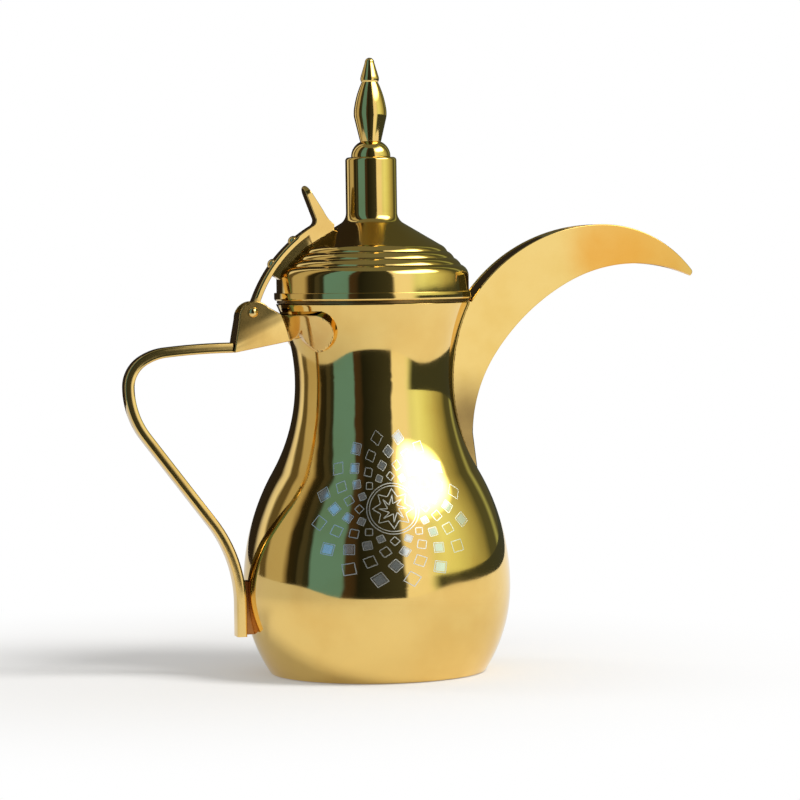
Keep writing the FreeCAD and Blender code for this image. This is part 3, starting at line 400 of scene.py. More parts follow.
def strainer_group():
    """Tree that drills rows of one hole and of two, by turns, through the neck on the spout's side."""
    pen, wires = node_group(
        "strainer", Radius="Float", Pitch="Float", Side="Float", Low="Float", Rows="Int", Finish="Material"
    )
    rows = []
    for across, lift in ((0, 0), (-1, 0.5), (1, 0.5)):
        height = wires["Low"] + wires["Pitch"] * lift
        start = pen.vector(WAIST_RADIUS * MM, wires["Side"] * across, height)
        step = pen.vector(z=wires["Pitch"])
        rows.append(pen.make("MeshLine", {"Count": wires["Rows"], "Start Location": start, "Offset": step}))
    spots = pen.make("JoinGeometry", {"Geometry": rows})
    drill = pen.make(
        "MeshCylinder", {"Vertices": 24, "Radius": wires["Radius"], "Depth": WAIST_RADIUS * MM}
    )
    drills = pen.make(
        "InstanceOnPoints", {"Points": spots, "Instance": drill, "Rotation": (0, math.pi / 2, 0)}
    )
    drills = pen.make("RealizeInstances", {"Geometry": drills})
    pierced = pen.make(
        "MeshBoolean", {"Mesh 1": wires["Mesh"], "Mesh 2": drills}, operation="DIFFERENCE", solver="EXACT"
    )
    return end_group(pen, pierced, wires["Finish"])


STRAINER = strainer_group()
vessel = grown(
    "vessel", blank.data, STRAINER, Radius=2.1 * MM, Pitch=12 * MM, Side=3.2 * MM, Low=121 * MM, Rows=4,
    Finish=spun_gold,
)
soften(vessel)
bpy.data.objects.remove(blank)
dress(vessel, "pot", "polished_gold", "vessel_belly", "vessel_neck")


# Base plate. A flat disc of brass soldered into the foot, standing a little below the shell's edge.
# Its underside shows the dull rings of the lathe.

base_gold = gold(
    "base_gold", (0.86, 0.62, 0.26), (0.70, 0.46, 0.17), roughness=0.16, haze=0.14, grain=(1400, 1400, 60),
    ripple=0.00002,
)
BASE_THICKNESS = 1.6
SOLDER_GAP = 0.05
base_edge = vessel_radius(0, WALL + SOLDER_GAP)
base_plate = turned(
    "base_plate_disc", base_gold,
    [
        (0, 0),
        (base_edge, 0),
        (vessel_radius(BASE_THICKNESS, WALL + SOLDER_GAP), BASE_THICKNESS),
        (0, BASE_THICKNESS),
    ],
    rounds={1: 0.3},
)
dress(base_plate, "pot", "polished_gold", "base_plate")


# Engraved medallion. Fine lines and little squares, cut through the gold to the white metal by a graver
# on the belly's broad side: an eight-pointed star, a ring round it and widening rings of squares, some
# of them rubbed to a satin.

MEDALLION_HEIGHT = 84.0
MEDALLION_TURN = math.radians(-6.4)
MEDALLION_SQUASH = 0.94
GRAVER_STEP = 0.7


def cut_finish(name, light, dark, roughness):
    """White metal under the gold, bright where the graver cut it and grey where it chattered."""
    material, pen = blank_material(name)
    place = pen.make("TexCoord", out="Object")
    chatter = noise(pen, place, scale=260, detail=2)
    colour = mixed(pen, chatter, (*light, 1), (*dark, 1))
    end_metal(pen, colour, 0.9, roughness + chatter * 0.1, chatter * 0.000004)
    return material


def medallion_group(shell):
    """Tree that draws the medallion flat and lays it on the belly by a ray towards the axis."""
    pen, wires = node_group(
        "medallion", Squares="Int", Rings="Int", First="Float", Spread="Float", Square="Float",
        Growth="Float", Line="Float", Depth="Float", Filled="Bool", Finish="Material",
    )
    index = pen.make("InputIndex")
    ring = pen.maths("FLOOR", index / wires["Squares"])
    turn = (index + ring * 0.5) * (2 * math.pi) / wires["Squares"]
    reach = wires["First"] + wires["Spread"] * ring + wires["Growth"] * ring * ring
    cosine = pen.maths("COSINE", turn)
    sine = pen.maths("SINE", turn)
    spot = pen.vector(reach * cosine, reach * sine)
    count = wires["Squares"] * wires["Rings"]
    points = pen.make("Points", {"Count": count, "Position": spot})
    square = pen.make("CurvePrimitiveQuadrilateral", {"Width": wires["Square"], "Height": wires["Square"]})
    swing = pen.vector(z=turn + math.pi / 4)
    scale = 1 + ring * 0.24
    squares = pen.make(
        "InstanceOnPoints", {"Points": points, "Instance": square, "Rotation": swing, "Scale": scale}
    )
    squares = pen.make("RealizeInstances", {"Geometry": squares})
    inside = wires["Square"] * 0.8
    rubbed = pen.make("MeshGrid", {"Size X": inside, "Size Y": inside, "Vertices X": 5, "Vertices Y": 5})
    skin = pen.vector(z=wires["Depth"] * 0.4)
    rubbed = pen.make("SetPosition", {"Geometry": rubbed, "Offset": skin})
    every_other = pen.maths("MODULO", index + ring, 2)
    fills = pen.make(
        "InstanceOnPoints",
        {"Points": points, "Selection": every_other, "Instance": rubbed, "Rotation": swing, "Scale": scale},
    )
    fills = pen.make("RealizeInstances", {"Geometry": fills})
    figures = [squares]
    star_points = 8
    for outer, inner, twist in ((0.62, 0.40, 0), (0.42, 0.16, math.pi / star_points)):
        star = {
            "Points": star_points, "Outer Radius": wires["First"] * outer,
            "Inner Radius": wires["First"] * inner, "Twist": twist,
        }
        figures.append(pen.make("CurveStar", star, "Curve"))
    for share in (0.70, 0.78):
        figures.append(pen.make(
            "CurvePrimitiveCircle", {"Resolution": 72, "Radius": wires["First"] * share}
        ))
    drawing = pen.make("JoinGeometry", {"Geometry": figures})
    drawing = pen.make("ResampleCurve", {"Curve": drawing, "Length": GRAVER_STEP * MM}, mode="LENGTH")
    graver = pen.make("CurvePrimitiveQuadrilateral", {"Width": wires["Line"], "Height": wires["Depth"]})
    lines = pen.make("CurveToMesh", {"Curve": drawing, "Profile Curve": graver, "Fill Caps": True})
    work = pen.make(
        "Switch", {"Switch": wires["Filled"], "False": lines, "True": fills}, input_type="GEOMETRY"
    )
    place = pen.make("InputPosition")
    across = pen.make("SeparateXYZ", {0: place})
    height = MEDALLION_HEIGHT * MM + across.other("Y") * MEDALLION_SQUASH
    angle = MEDALLION_TURN + across / (vessel_radius(MEDALLION_HEIGHT) * MM)
    aim_x = pen.maths("SINE", angle)
    aim_y = pen.maths("COSINE", angle)
    far = 2 * BELLY_RADIUS * MM
    source = pen.vector(aim_x * far, aim_y * -far, height)
    inward = pen.vector(-1 * aim_x, aim_y)
    target = pen.make("ObjectInfo", {"Object": shell}, "Geometry")
    hit = pen.make(
        "Raycast",
        {"Target Geometry": target, "Source Position": source, "Ray Direction": inward, "Ray Length": far},
        "Hit Position",
    )
    normal = hit.other("Hit Normal")
    lift = pen.make("VectorMath", {0: normal, "Scale": across.other("Z")}, operation="SCALE")
    laid = pen.make("VectorMath", {0: hit, 1: lift}, operation="ADD")
    work = pen.make("SetPosition", {"Geometry": work, "Position": laid})
    return end_group(pen, work, wires["Finish"])


MEDALLION = medallion_group(vessel)
medallion_sizes = {
    "Squares": 16, "Rings": 4, "First": 16 * MM, "Spread": 5.2 * MM, "Square": 3.2 * MM,
    "Growth": 0.45 * MM, "Line": 0.45 * MM, "Depth": 0.08 * MM,
}
cut_line = cut_finish("cut_line", (0.86, 0.85, 0.79), (0.70, 0.69, 0.64), roughness=0.28)
rubbed_square = cut_finish("rubbed_square", (0.80, 0.82, 0.80), (0.74, 0.76, 0.74), roughness=0.05)
for name, filled, finish in (
    ("engraved_medallion", False, cut_line),
    ("engraved_satin", True, rubbed_square),
):
    engraving = grown(
        name, bpy.data.meshes.new(f"{name}_seed"), MEDALLION, **medallion_sizes, Filled=filled,
        Finish=finish,
    )
    soften(engraving)
    if not filled:
        face_outwards(engraving.data)
    dress(engraving, "pot", "polished_gold")


# Spout. A beak of sheet brass: two flat cheeks that lean apart upwards, a narrow keel strip under them
# and a cover strip over the root half. The edges are filed round and the root is brazed to the vessel.

# Spots on the spout: the first two make the beak a deeper orange; the third is painted shade, a brown
# darkening round the spout's root at the vessel, with a little dulling.
SPOUT_TINTS_AND_SHADE = (
    ((0.120, 0, 0.206), 0.030, (0.85, 0.42, 0.075), 0.0),
    ((0.143, 0, 0.199), 0.034, (0.85, 0.42, 0.075), 0.0),
    ((0.043, 0, 0.115), 0.037, (0.32, 0.21, 0.08), 0.04),
)
sheet_gold = gold(
    "sheet_gold", (0.89, 0.64, 0.23), (0.85, 0.58, 0.18), roughness=0.04, haze=0.05, grain=(220, 2200, 220),
    ripple=0.000014, stains_and_shade=SPOUT_TINTS_AND_SHADE,
)


def refinish(piece, finish):
    """Gives a piece one finish all over."""
    piece.data.materials.clear()
    piece.data.materials.append(finish)
    return piece


def eased(name, node, finish, width, segments=2, weigh=None, cuts=(), shape=None):
    """Copy of a solid's own surface with its sharp edges taken off.

    Cuts are planes (point, normal) that a shape, a change of each place, needs to bend along. A weigh
    gives each sharp edge its share of the width.
    """
    weld = 2e-6
    flat_turn = math.radians(0.3)
    sharp_turn = math.radians(28)
    work = bmesh.new()
    work.from_mesh(nodes[node].data)
    bmesh.ops.remove_doubles(work, verts=work.verts[:], dist=weld)
    bmesh.ops.dissolve_limit(work, angle_limit=flat_turn, verts=work.verts[:], edges=work.edges[:])
    for point, normal in cuts:
        every = work.verts[:] + work.edges[:] + work.faces[:]
        bmesh.ops.bisect_plane(work, geom=every, dist=1e-6, plane_co=point, plane_no=normal)
    share = work.edges.layers.float.new("bevel_weight_edge")
    for edge in work.edges:
        if edge.is_manifold and edge.calc_face_angle() > sharp_turn:
            edge[share] = weigh(edge) if weigh else 1.0
            edge.smooth = edge[share] > 0
    if shape:
        for vert in work.verts:
            vert.co = shape(vert.co)
    mesh = bpy.data.meshes.new(name)
    work.to_mesh(mesh)
    work.free()
    mesh.shade_smooth()
    rough = new_object(f"{name}_rough", mesh)
    bevel = rough.modifiers.new("ease", "BEVEL")
    bevel.limit_method = "WEIGHT"
    bevel.width = width * MM
    bevel.segments = segments
    bevel.use_clamp_overlap = False
    level = rough.modifiers.new("level", "WEIGHTED_NORMAL")
    level.mode = "FACE_AREA"
    level.weight = 100
    level.keep_sharp = True
    return refinish(settled(name, rough), finish)


BEAK_END = 148.0
BEAK_EDGE = 0.42


def beak_corner(edge):
    """Share of the rounding for an edge of a cheek: full at the corners of the beak's end."""
    run = (edge.verts[1].co - edge.verts[0].co).normalized()
    return 1.0 if abs(run.y) > 0.7 and edge.verts[0].co.x > BEAK_END * MM else BEAK_EDGE


for side in ("right", "left"):
    cheek = eased(
        f"spout_{side}_cheek", f"spout_cheek_{side}", sheet_gold, width=1.2, segments=3, weigh=beak_corner
    )
    dress(cheek, "pot", "polished_gold", f"spout_cheek_{side}")
for strip in ("keel", "cover"):
    piece = eased(f"spout_{strip}_strip", f"spout_{strip}", sheet_gold, width=0.2)
    dress(piece, "pot", "polished_gold", f"spout_{strip}")


# Braze seams. A thin uneven bead of filler metal where the spout's cheeks meet the vessel, left dark and
# grainy by the heat.

braze_gold = gold(
    "braze_gold", (0.42, 0.25, 0.08), (0.14, 0.07, 0.02), roughness=0.16, haze=0.16, grain=(900, 900, 900),
    ripple=0.00006,
)


def bead_group():
    """Tree that lays an uneven bead along a line."""
    pen, wires = node_group(
        "braze_bead", Radius="Float", Spacing="Float", Unevenness="Float", Finish="Material"
    )
    line = pen.make("MeshToCurve", {"Mesh": wires["Mesh"]})
    line = pen.make("ResampleCurve", {"Curve": line, "Length": wires["Spacing"]}, mode="LENGTH")
    lumps = noise(pen, pen.make("InputPosition"), scale=900, detail=2)
    swell = 1 + (lumps - 0.5) * wires["Unevenness"]
    ring = pen.make("CurvePrimitiveCircle", {"Resolution": 8, "Radius": wires["Radius"]})
    laid = pen.make(
        "CurveToMesh", {"Curve": line, "Profile Curve": ring, "Scale": swell, "Fill Caps": True}
    )
    return end_group(pen, laid, wires["Finish"])


BEAD = bead_group()


def bead(name, lines, radius, unevenness):
    """Bead of filler metal along some lines of points in millimetres."""
    mesh = bpy.data.meshes.new(f"{name}_line")
    spots = []
    edges = []
    for line in lines:
        edges += [(len(spots) + i, len(spots) + i + 1) for i in range(len(line) - 1)]
        spots += [Vector(p) * MM for p in line]
    mesh.from_pydata(spots, edges, [])
    piece = grown(
        name, mesh, BEAD, Radius=radius * MM, Spacing=0.55 * MM, Unevenness=unevenness, Finish=braze_gold
    )
    face_outwards(piece.data)
    return soften(piece, angle=60)


SPOUT_ROOT_HALF = 9.0
SPOUT_TAPER = 3.9
SPOUT_FLARE = 3.7
SPOUT_WALL = 1.2


def cheek_seam(side, low, high):
    """Line where the outside of one cheek meets the vessel."""
    lean = Matrix.Rotation(math.radians(-side * SPOUT_TAPER), 3, "Z")
    lean = lean @ Matrix.Rotation(math.radians(-side * SPOUT_FLARE), 3, "X")
    root = Vector((MOUTH_RADIUS, side * (SPOUT_ROOT_HALF - SPOUT_WALL), MOUTH_HEIGHT))
    face = lean @ Vector((0, side, 0))
    level = face.dot(root) + SPOUT_WALL
    line = []
    count = 60
    tries = 6
    for k in range(count + 1):
        height = low + (high - low) * k / count
        x = vessel_radius(height)
        for _ in range(tries):
            y = (level - face.z * height - face.x * x) / face.y
            x = math.sqrt(vessel_radius(height) ** 2 - y ** 2)
        line.append((x, y, height))
    return line


SEAM_LOW = 94.0
SEAM_HIGH = 179.6
spout_seam = bead(
    "spout_braze_seam", [cheek_seam(side, SEAM_LOW, SEAM_HIGH) for side in (-1, 1)], radius=0.55,
    unevenness=1.6,
)
dress(spout_seam, "pot", "polished_gold")


# Neck saddle. A cast band with a hooked leaf on each side, bent to the neck and brazed on: it spreads
# the pull of the handle and the hinge. Heat has left it a little redder along the joint.

HEAT_STAIN = (0.62, 0.27, 0.07)
cast_gold = gold(
    "cast_gold", (0.88, 0.62, 0.22), (0.81, 0.52, 0.16), roughness=0.045, haze=0.07, grain=(500, 500, 500),
    ripple=0.000022,
)
saddle_gold = gold(
    "saddle_gold", (0.88, 0.62, 0.22), (0.80, 0.49, 0.15), roughness=0.05, haze=0.07, grain=(500, 500, 500),
    ripple=0.000028, stains_and_shade=[((-0.030, 0, 0.165), 0.016, HEAT_STAIN, 0.12)],
)
saddle = eased("neck_saddle_casting", "neck_saddle", saddle_gold, width=0.45, segments=3)
dress(saddle, "pot", "cast_gold", "neck_saddle")


# Hinge bracket. A cast arm on the saddle, with an arch over the pin and a slot for the lever's knuckle.
# It takes the handle's tenon in its outer end, and its sides are filed to a slight crown.

PIN = Vector((-61.5, 0, 177.2))
BRACKET_HALF = 7.5
SIDE_MARGIN = 0.1
CROWN_AXIS = Vector((-0.40, 0, 0.917)).normalized()
CROWN_MIDDLE = Vector((-60, 0, 167.5))
CROWN_BEND = 0.018
CROWN_REACH = 5.0


def crowned(place):
    """Side of the bracket, drawn in both ways from its middle line, first in an arc and then straight."""
    if abs(place.y) < (BRACKET_HALF - SIDE_MARGIN) * MM:
        return place
    off = abs((place / MM - CROWN_MIDDLE).dot(CROWN_AXIS))
    bent = min(off, CROWN_REACH)
    inwards = CROWN_BEND * bent * (off - bent / 2) * MM
    return Vector((place.x, place.y - math.copysign(inwards, place.y), place.z))


def outside_corner(edge):
    """Share of the rounding for an edge of the bracket: none for the inside corners of the slot."""
    return 1.0 if edge.is_convex else 0.0


bracket = eased(
    "hinge_bracket_casting", "hinge_bracket", cast_gold, width=0.5, segments=3, weigh=outside_corner,
    cuts=[((CROWN_MIDDLE + CROWN_AXIS * step) * MM, CROWN_AXIS) for step in range(-6, 7)], shape=crowned,
)
dress(bracket, "pot", "cast_gold", "hinge_bracket")


# Hinge pin. A plain brass rod through both ears of the bracket and the lever's eye. It is driven in and
# peened over at each end.

pin_gold = gold(
    "pin_gold", (0.90, 0.68, 0.28), (0.80, 0.54, 0.19), roughness=0.05, haze=0.07, grain=(1200, 90, 1200),
    ripple=0.00002,
)
pin = eased("hinge_pin_rod", "hinge_pin", pin_gold, width=0.12)
dress(pin, "pot", "cast_gold", "hinge_pin")


# Handle. One drawn bar with rounded edges, bent to a shoulder, a straight back and a swept foot,
# its upper end tenoned into the bracket and its lower end cut square.

HANDLE_WIDTH = 9.0
HANDLE_THICKNESS = 4.8
HANDLE_ROUND = 0.9
HANDLE_ROOT = (-71.1, 160.2)
HANDLE_BENDS = ((312, 180, 186), (26, 186, 212), (15, 212, 270), (40, 270, 307))
BACK_HEADING = math.radians(307)
FOOT_ARC = 66.0
FOOT_X = -BELLY_RADIUS - 3.2
HANDLE_END = 20.0


def handle_path():
    """Middle line of the bar in its own upright plane.

    A bend is a radius, the heading that it starts with and the heading that it ends with.
    """
    bend_step = 2.5
    fewest_steps = 6
    foot_steps = 16
    end_steps = 4
    path = [Vector(HANDLE_ROOT)]
    for radius, start, stop in HANDLE_BENDS:
        heading = math.radians(start)
        centre = path[-1] + Vector((-math.sin(heading), math.cos(heading))) * radius
        count = max(fewest_steps, math.ceil((stop - start) / bend_step))
        for k in range(1, count + 1):
            turn = math.radians(start + (stop - start) * k / count)
            path.append(centre + Vector((math.sin(turn), -math.cos(turn))) * radius)
    reach = FOOT_X - path[-1].x - FOOT_ARC * (1 + math.sin(BACK_HEADING))
    along = Vector((math.cos(BACK_HEADING), math.sin(BACK_HEADING)))
    back = path[-1].copy()
    length = reach / along.x
    path += [back + along * length * k / fewest_steps for k in range(1, fewest_steps + 1)]
    centre = path[-1] + Vector((math.sin(BACK_HEADING), -math.cos(BACK_HEADING))) * FOOT_ARC
    for k in range(1, foot_steps + 1):
        turn = BACK_HEADING + (math.radians(270) - BACK_HEADING) * k / foot_steps
        path.append(centre + Vector((-math.sin(turn), math.cos(turn))) * FOOT_ARC)
    heel = path[-1].y
    path += [Vector((FOOT_X, heel + (HANDLE_END - heel) * k / end_steps)) for k in range(1, end_steps + 1)]
    return path


def bar_group():
    """Tree that draws a bar with rounded edges along a line."""
    pen, wires = node_group("drawn_bar", Width="Float", Thickness="Float", Round="Float", Finish="Material")
    line = pen.make("MeshToCurve", {"Mesh": wires["Mesh"]})
    section = pen.make(
        "CurvePrimitiveQuadrilateral", {"Width": wires["Width"], "Height": wires["Thickness"]}
    )
    section = pen.make(
        "FilletCurve", {"Curve": section, "Count": 5, "Radius": wires["Round"], "Limit Radius": True},
        mode="POLY",
    )
    bar = pen.make("CurveToMesh", {"Curve": line, "Profile Curve": section, "Fill Caps": True})
    return end_group(pen, bar, wires["Finish"])


BAR = bar_group()
handle = grown(
    "handle_drawn_bar", upright_line("handle_line", handle_path()), BAR, Width=HANDLE_WIDTH * MM,
    Thickness=HANDLE_THICKNESS * MM, Round=HANDLE_ROUND * MM, Finish=cast_gold,
)
face_outwards(handle.data)
soften(handle, angle=40)
dress(handle, "pot", "cast_gold", "handle_bar")


# Handle foot. A block of filler between the bar's end and the belly, brazed hot, so that it and the
# seams on both its sides stay a dark reddish brown.

foot_gold = gold(
    "foot_gold", (0.46, 0.19, 0.055), (0.20, 0.07, 0.02), roughness=0.14, haze=0.16, grain=(700, 700, 700),
    ripple=0.00006, stains_and_shade=[((-0.066, 0, 0.042), 0.016, (0.15, 0.04, 0.01), 0.12)],
)
foot = eased("handle_foot_block", "handle_foot", foot_gold, width=0.3)
dress(foot, "pot", "cast_gold", "handle_foot")


# Lid dome. Spun from one disc of sheet brass, with a plain upright band, three beads and a straight flank
# that runs up to a collar.

DOME_LOW = 182.3
DOME_RADIUS = 47.0
BAND_TOP = 193.4
SHOULDER_ARC = 5.7
SHOULDER_DROP = 3.7
BEAD_STEP = 3.3
BEAD_ARC = 6.5
DOME_SLOPE = math.radians(31)
COLLAR_ARC = 6.2
CHIMNEY_RADIUS = 12.5
LID_WALL = 1.2

lid_gold = gold(
    "lid_gold", LIGHT_GOLD, DEEP_GOLD, roughness=0.035, haze=0.05, grain=(180, 180, 2400), ripple=0.00002
)
shoulder_rise = math.sqrt(SHOULDER_ARC ** 2 - (SHOULDER_ARC - SHOULDER_DROP) ** 2)
shoulder = (DOME_RADIUS - SHOULDER_DROP, BAND_TOP + shoulder_rise)
beads = [(shoulder[0] - n * BEAD_STEP, shoulder[1] + n * BEAD_STEP) for n in (1, 2, 3)]
collar_x = CHIMNEY_RADIUS + COLLAR_ARC * (1 - math.sin(DOME_SLOPE))
collar = (collar_x, beads[2][1] + (beads[2][0] - collar_x) * math.tan(DOME_SLOPE))
dome_top = collar[1] + COLLAR_ARC * math.cos(DOME_SLOPE)
bore = CHIMNEY_RADIUS - LID_WALL
inner_arc = SHOULDER_ARC - LID_WALL
inner_share = inner_arc / SHOULDER_ARC
inner_shoulder = (
    DOME_RADIUS - SHOULDER_ARC + (SHOULDER_ARC - SHOULDER_DROP) * inner_share,
    BAND_TOP + shoulder_rise * inner_share,
)
sink = Vector((math.sin(DOME_SLOPE), math.cos(DOME_SLOPE))) * LID_WALL
dome = turned(
    "lid_spun_dome", lid_gold,
    [
        (DOME_RADIUS, DOME_LOW),
        (DOME_RADIUS, BAND_TOP),
        shoulder,
        *beads,
        collar,
        (CHIMNEY_RADIUS, dome_top),
        (bore, dome_top),
        Vector(collar) - sink,
        Vector(beads[2]) - sink,
        inner_shoulder,
        (DOME_RADIUS - LID_WALL, BAND_TOP),
        (DOME_RADIUS - LID_WALL, DOME_LOW),
        (DOME_RADIUS, DOME_LOW),
    ],
    {
        1: (SHOULDER_ARC, 1),
        2: (BEAD_ARC, 1),
        3: (BEAD_ARC, 1),
        4: (BEAD_ARC, 1),
        6: (COLLAR_ARC, -1),
        8: (COLLAR_ARC + LID_WALL, 1),
        11: (inner_arc, -1),
    },
    {2: 0.35, 3: 0.35, 4: 0.35, 5: 0.5},
    step=0.45, steps=220,
)
dress(dome, "lid", "polished_gold", "lid_dome")


# Lid lip. A narrow ring with a rounded underside, rolled from brass strip and soldered round the foot of
# the dome's band.

LIP_HEIGHT = 3.8
LIP_OVERHANG = 0.8
lip_inner = DOME_RADIUS + SOLDER_GAP
lip_outer = MOUTH_RADIUS + LIP_OVERHANG
lip_round = lip_outer - lip_inner
lip_top = DOME_LOW + LIP_HEIGHT
lip = turned(
    "lid_rolled_lip", lid_gold,
    [
        (lip_inner, DOME_LOW),
        (lip_outer, DOME_LOW + lip_round),
        (lip_outer, lip_top),
        (lip_inner, lip_top),
        (lip_inner, DOME_LOW),
    ],
    {0: (lip_round, 1)},
    {2: 0.35},
    step=0.25, steps=220,
)
dress(lip, "lid", "polished_gold", "lid_lip")


# Lid plug. A flanged ring soldered under the dome, which drops into the mouth and keeps the lid in its
# place. It is dull, and its dark brown is painted shade that makes the gap under the lid's lip read dark.

LID_LOW = 180.9
PLUG_DEPTH = 5.6
PLUG_GAP = 1.2
FLANGE_INSET = 0.5
# Painted shade: the plug's dark brown stands for the shade in the gap under the lid's lip.
plug_painted_shade = gold(
    "plug_painted_shade", (0.30, 0.19, 0.07), (0.16, 0.09, 0.03), roughness=0.24, haze=0.14, grain=(1200, 1200, 80),
    ripple=0.00002,
)
plug_low = LID_LOW - PLUG_DEPTH
plug_radius = vessel_radius(plug_low, WALL) - PLUG_GAP
flange = MOUTH_RADIUS - FLANGE_INSET
plug = turned(
    "lid_drop_plug", plug_painted_shade,
    [
        (plug_radius - LID_WALL, plug_low),
        (plug_radius, plug_low),
        (plug_radius, LID_LOW),
        (flange, LID_LOW),
        (flange, DOME_LOW),
        (plug_radius - LID_WALL, DOME_LOW),
        (plug_radius - LID_WALL, plug_low),
    ],
    rounds={1: 0.3, 2: 0.25, 3: 0.3, 5: 0.3},
)
dress(plug, "lid", "polished_gold", "lid_plug")


# Lid chimney. A plain tube of sheet brass that stands on the dome's collar and carries the finial. Its top
# is closed but for the rod's hole, and its upper edge is rounded.

CHIMNEY_HEIGHT = 26.9
CHIMNEY_ROUND = 1.6
ROD_BORE = 2.08
chimney_top = dome_top + CHIMNEY_HEIGHT
chimney = turned(
    "lid_chimney_tube", lid_gold,
    [
        (bore, dome_top),
        (CHIMNEY_RADIUS, dome_top),
        (CHIMNEY_RADIUS, chimney_top - CHIMNEY_ROUND),
        (CHIMNEY_RADIUS - CHIMNEY_ROUND, chimney_top),
        (ROD_BORE, chimney_top),
        (ROD_BORE, chimney_top - LID_WALL),
        (bore, chimney_top - LID_WALL),
        (bore, dome_top),
    ],
    {2: (CHIMNEY_ROUND, 1)},
    step=0.4,
)
dress(chimney, "lid", "polished_gold", "lid_chimney")


# Finial. A cup, a baluster and a pointed tip, each turned from solid brass bar and polished. They are
# threaded one above the other on a rod.

CUP_RADIUS = 9.6
CUP_RIM = 0.9
CUP_HEIGHT = 7.5
CUP_ARC = 8.0
BALUSTER_FOOT = 5.1
finial_gold = gold(
    "finial_gold", LIGHT_GOLD, DEEP_GOLD, roughness=0.04, haze=0.06, grain=(200, 200, 3000), ripple=0.000018
)
cup_top = chimney_top + CUP_HEIGHT
cup = turned(
    "finial_turned_cup", finial_gold,
    [
        (ROD_BORE, chimney_top),
        (CUP_RADIUS, chimney_top),
        (CUP_RADIUS, chimney_top + CUP_RIM),
        (BALUSTER_FOOT, cup_top),
        (ROD_BORE, cup_top),
        (ROD_BORE, chimney_top),
    ],
    {2: (CUP_ARC, 1)},
    {1: 0.2, 2: 0.2, 3: 0.3},
    step=0.3,
)
dress(cup, "lid", "polished_gold", "finial_cup")

BALUSTER_RADIUS = 8.1
BALUSTER_NECK = 4.0
BALUSTER_LOW = 14.3
BALUSTER_HEIGHT = 29.0
BALUSTER_ARC = 45.0
swell = BALUSTER_RADIUS - BALUSTER_FOOT
CONE_RISE = 0.8 * BALUSTER_LOW
CONE_SWELL = 0.9 * swell
crest_rise = BALUSTER_LOW - CONE_RISE
crest_swell = swell - CONE_SWELL
crest_arc = (crest_rise ** 2 + crest_swell ** 2) / (2 * crest_swell)
baluster_top = cup_top + BALUSTER_HEIGHT
baluster_mid = cup_top + BALUSTER_LOW
baluster = turned(
    "finial_turned_baluster", finial_gold,
    [
        (ROD_BORE, cup_top),
        (BALUSTER_FOOT, cup_top),
        (BALUSTER_FOOT + CONE_SWELL, cup_top + CONE_RISE),
        (BALUSTER_RADIUS, baluster_mid),
        (BALUSTER_NECK, baluster_top),
        (ROD_BORE, baluster_top),
        (ROD_BORE, cup_top),
    ],
    {2: (crest_arc, 1), 3: (BALUSTER_ARC, 1)},
    {1: 0.3, 3: 1.5},
    step=0.35,
)
dress(baluster, "lid", "polished_gold", "finial_baluster")

TIP_HEIGHT = 11.9
TIP_RADIUS = 4.5
TIP_SWELL = 2.3
TIP_ARC = 2.8
TIP_ROUND = 2.3
tip_top = baluster_top + TIP_HEIGHT
tip = turned(
    "finial_turned_tip", finial_gold,
    [
        (ROD_BORE, baluster_top),
        (BALUSTER_NECK, baluster_top),
        (TIP_RADIUS, baluster_top + TIP_SWELL),
        (TIP_ROUND, tip_top - TIP_ROUND),
        (0, tip_top),
    ],
    {1: (TIP_ARC, 1), 3: (TIP_ROUND, 1)},
    {2: 0.4, 3: 0.5},
    step=0.25,
)
dress(tip, "lid", "polished_gold", "finial_tip")


# Finial rod, washer and nut. The rod runs down through the finial into the tube, where the washer and the
# hexagon nut pull the finial tight. They are left plain, without plating.

plain_brass = gold(
    "plain_brass", (0.78, 0.58, 0.27), (0.55, 0.36, 0.14), roughness=0.14, haze=0.12, grain=(900, 900, 900),
    ripple=0.00003,
)
for name in ("finial_rod", "finial_washer", "finial_nut"):
    refinish(nodes[name], plain_brass)


# Lid lever. A cast strap that turns on the pin, arches over the dome and ends in a heel and a thumb tab.
# A rib under it seats on the dome, and its outer edges are rounded by filing and by use.

LEVER_HALF = 5.0
HIDDEN_EDGE = 0.12
PLAIN_EDGE = 0.35
LEVER_ARC = 68.0
LEVER_FOOT = 5.9
LEVER_OFFSET = 0.76
LEVER_HEADING = math.radians(70)
along = Vector((math.cos(LEVER_HEADING), 0, math.sin(LEVER_HEADING)))
aside = Vector((-math.sin(LEVER_HEADING), 0, math.cos(LEVER_HEADING)))
strap_centre = PIN + along * LEVER_FOOT + aside * (LEVER_OFFSET - LEVER_ARC)
TAB_LOW = 213.0
KNUCKLE_REACH = 8.0


def worn_edge(edge):
    """Share of the rounding for an edge of the lever: most where a thumb and a cloth rub it."""
    middle = (edge.verts[0].co + edge.verts[1].co) / 2 / MM
    if not edge.is_convex:
        return 0.0
    from_pin = math.hypot(middle.x - PIN.x, middle.z - PIN.z)
    if abs(middle.y) < LEVER_HALF - SIDE_MARGIN or from_pin < KNUCKLE_REACH:
        return HIDDEN_EDGE
    outwards = (middle - strap_centre).normalized()
    looks = max(face.normal.dot(outwards) for face in edge.link_faces)
    return 1.0 if looks > 0.9 and middle.z < TAB_LOW else PLAIN_EDGE


TAB_HEADING = math.radians(110.8)
tab_axis = Vector((math.cos(TAB_HEADING), 0, math.sin(TAB_HEADING)))
tab_tip = Vector((-34.7, 0, 236.9))
TAB_CORNER = 4.2
STRAP_FULL = -58.0
STRAP_TAPER = 0.0036
RIB_START = -36.0
RIB_TAPER = 0.012


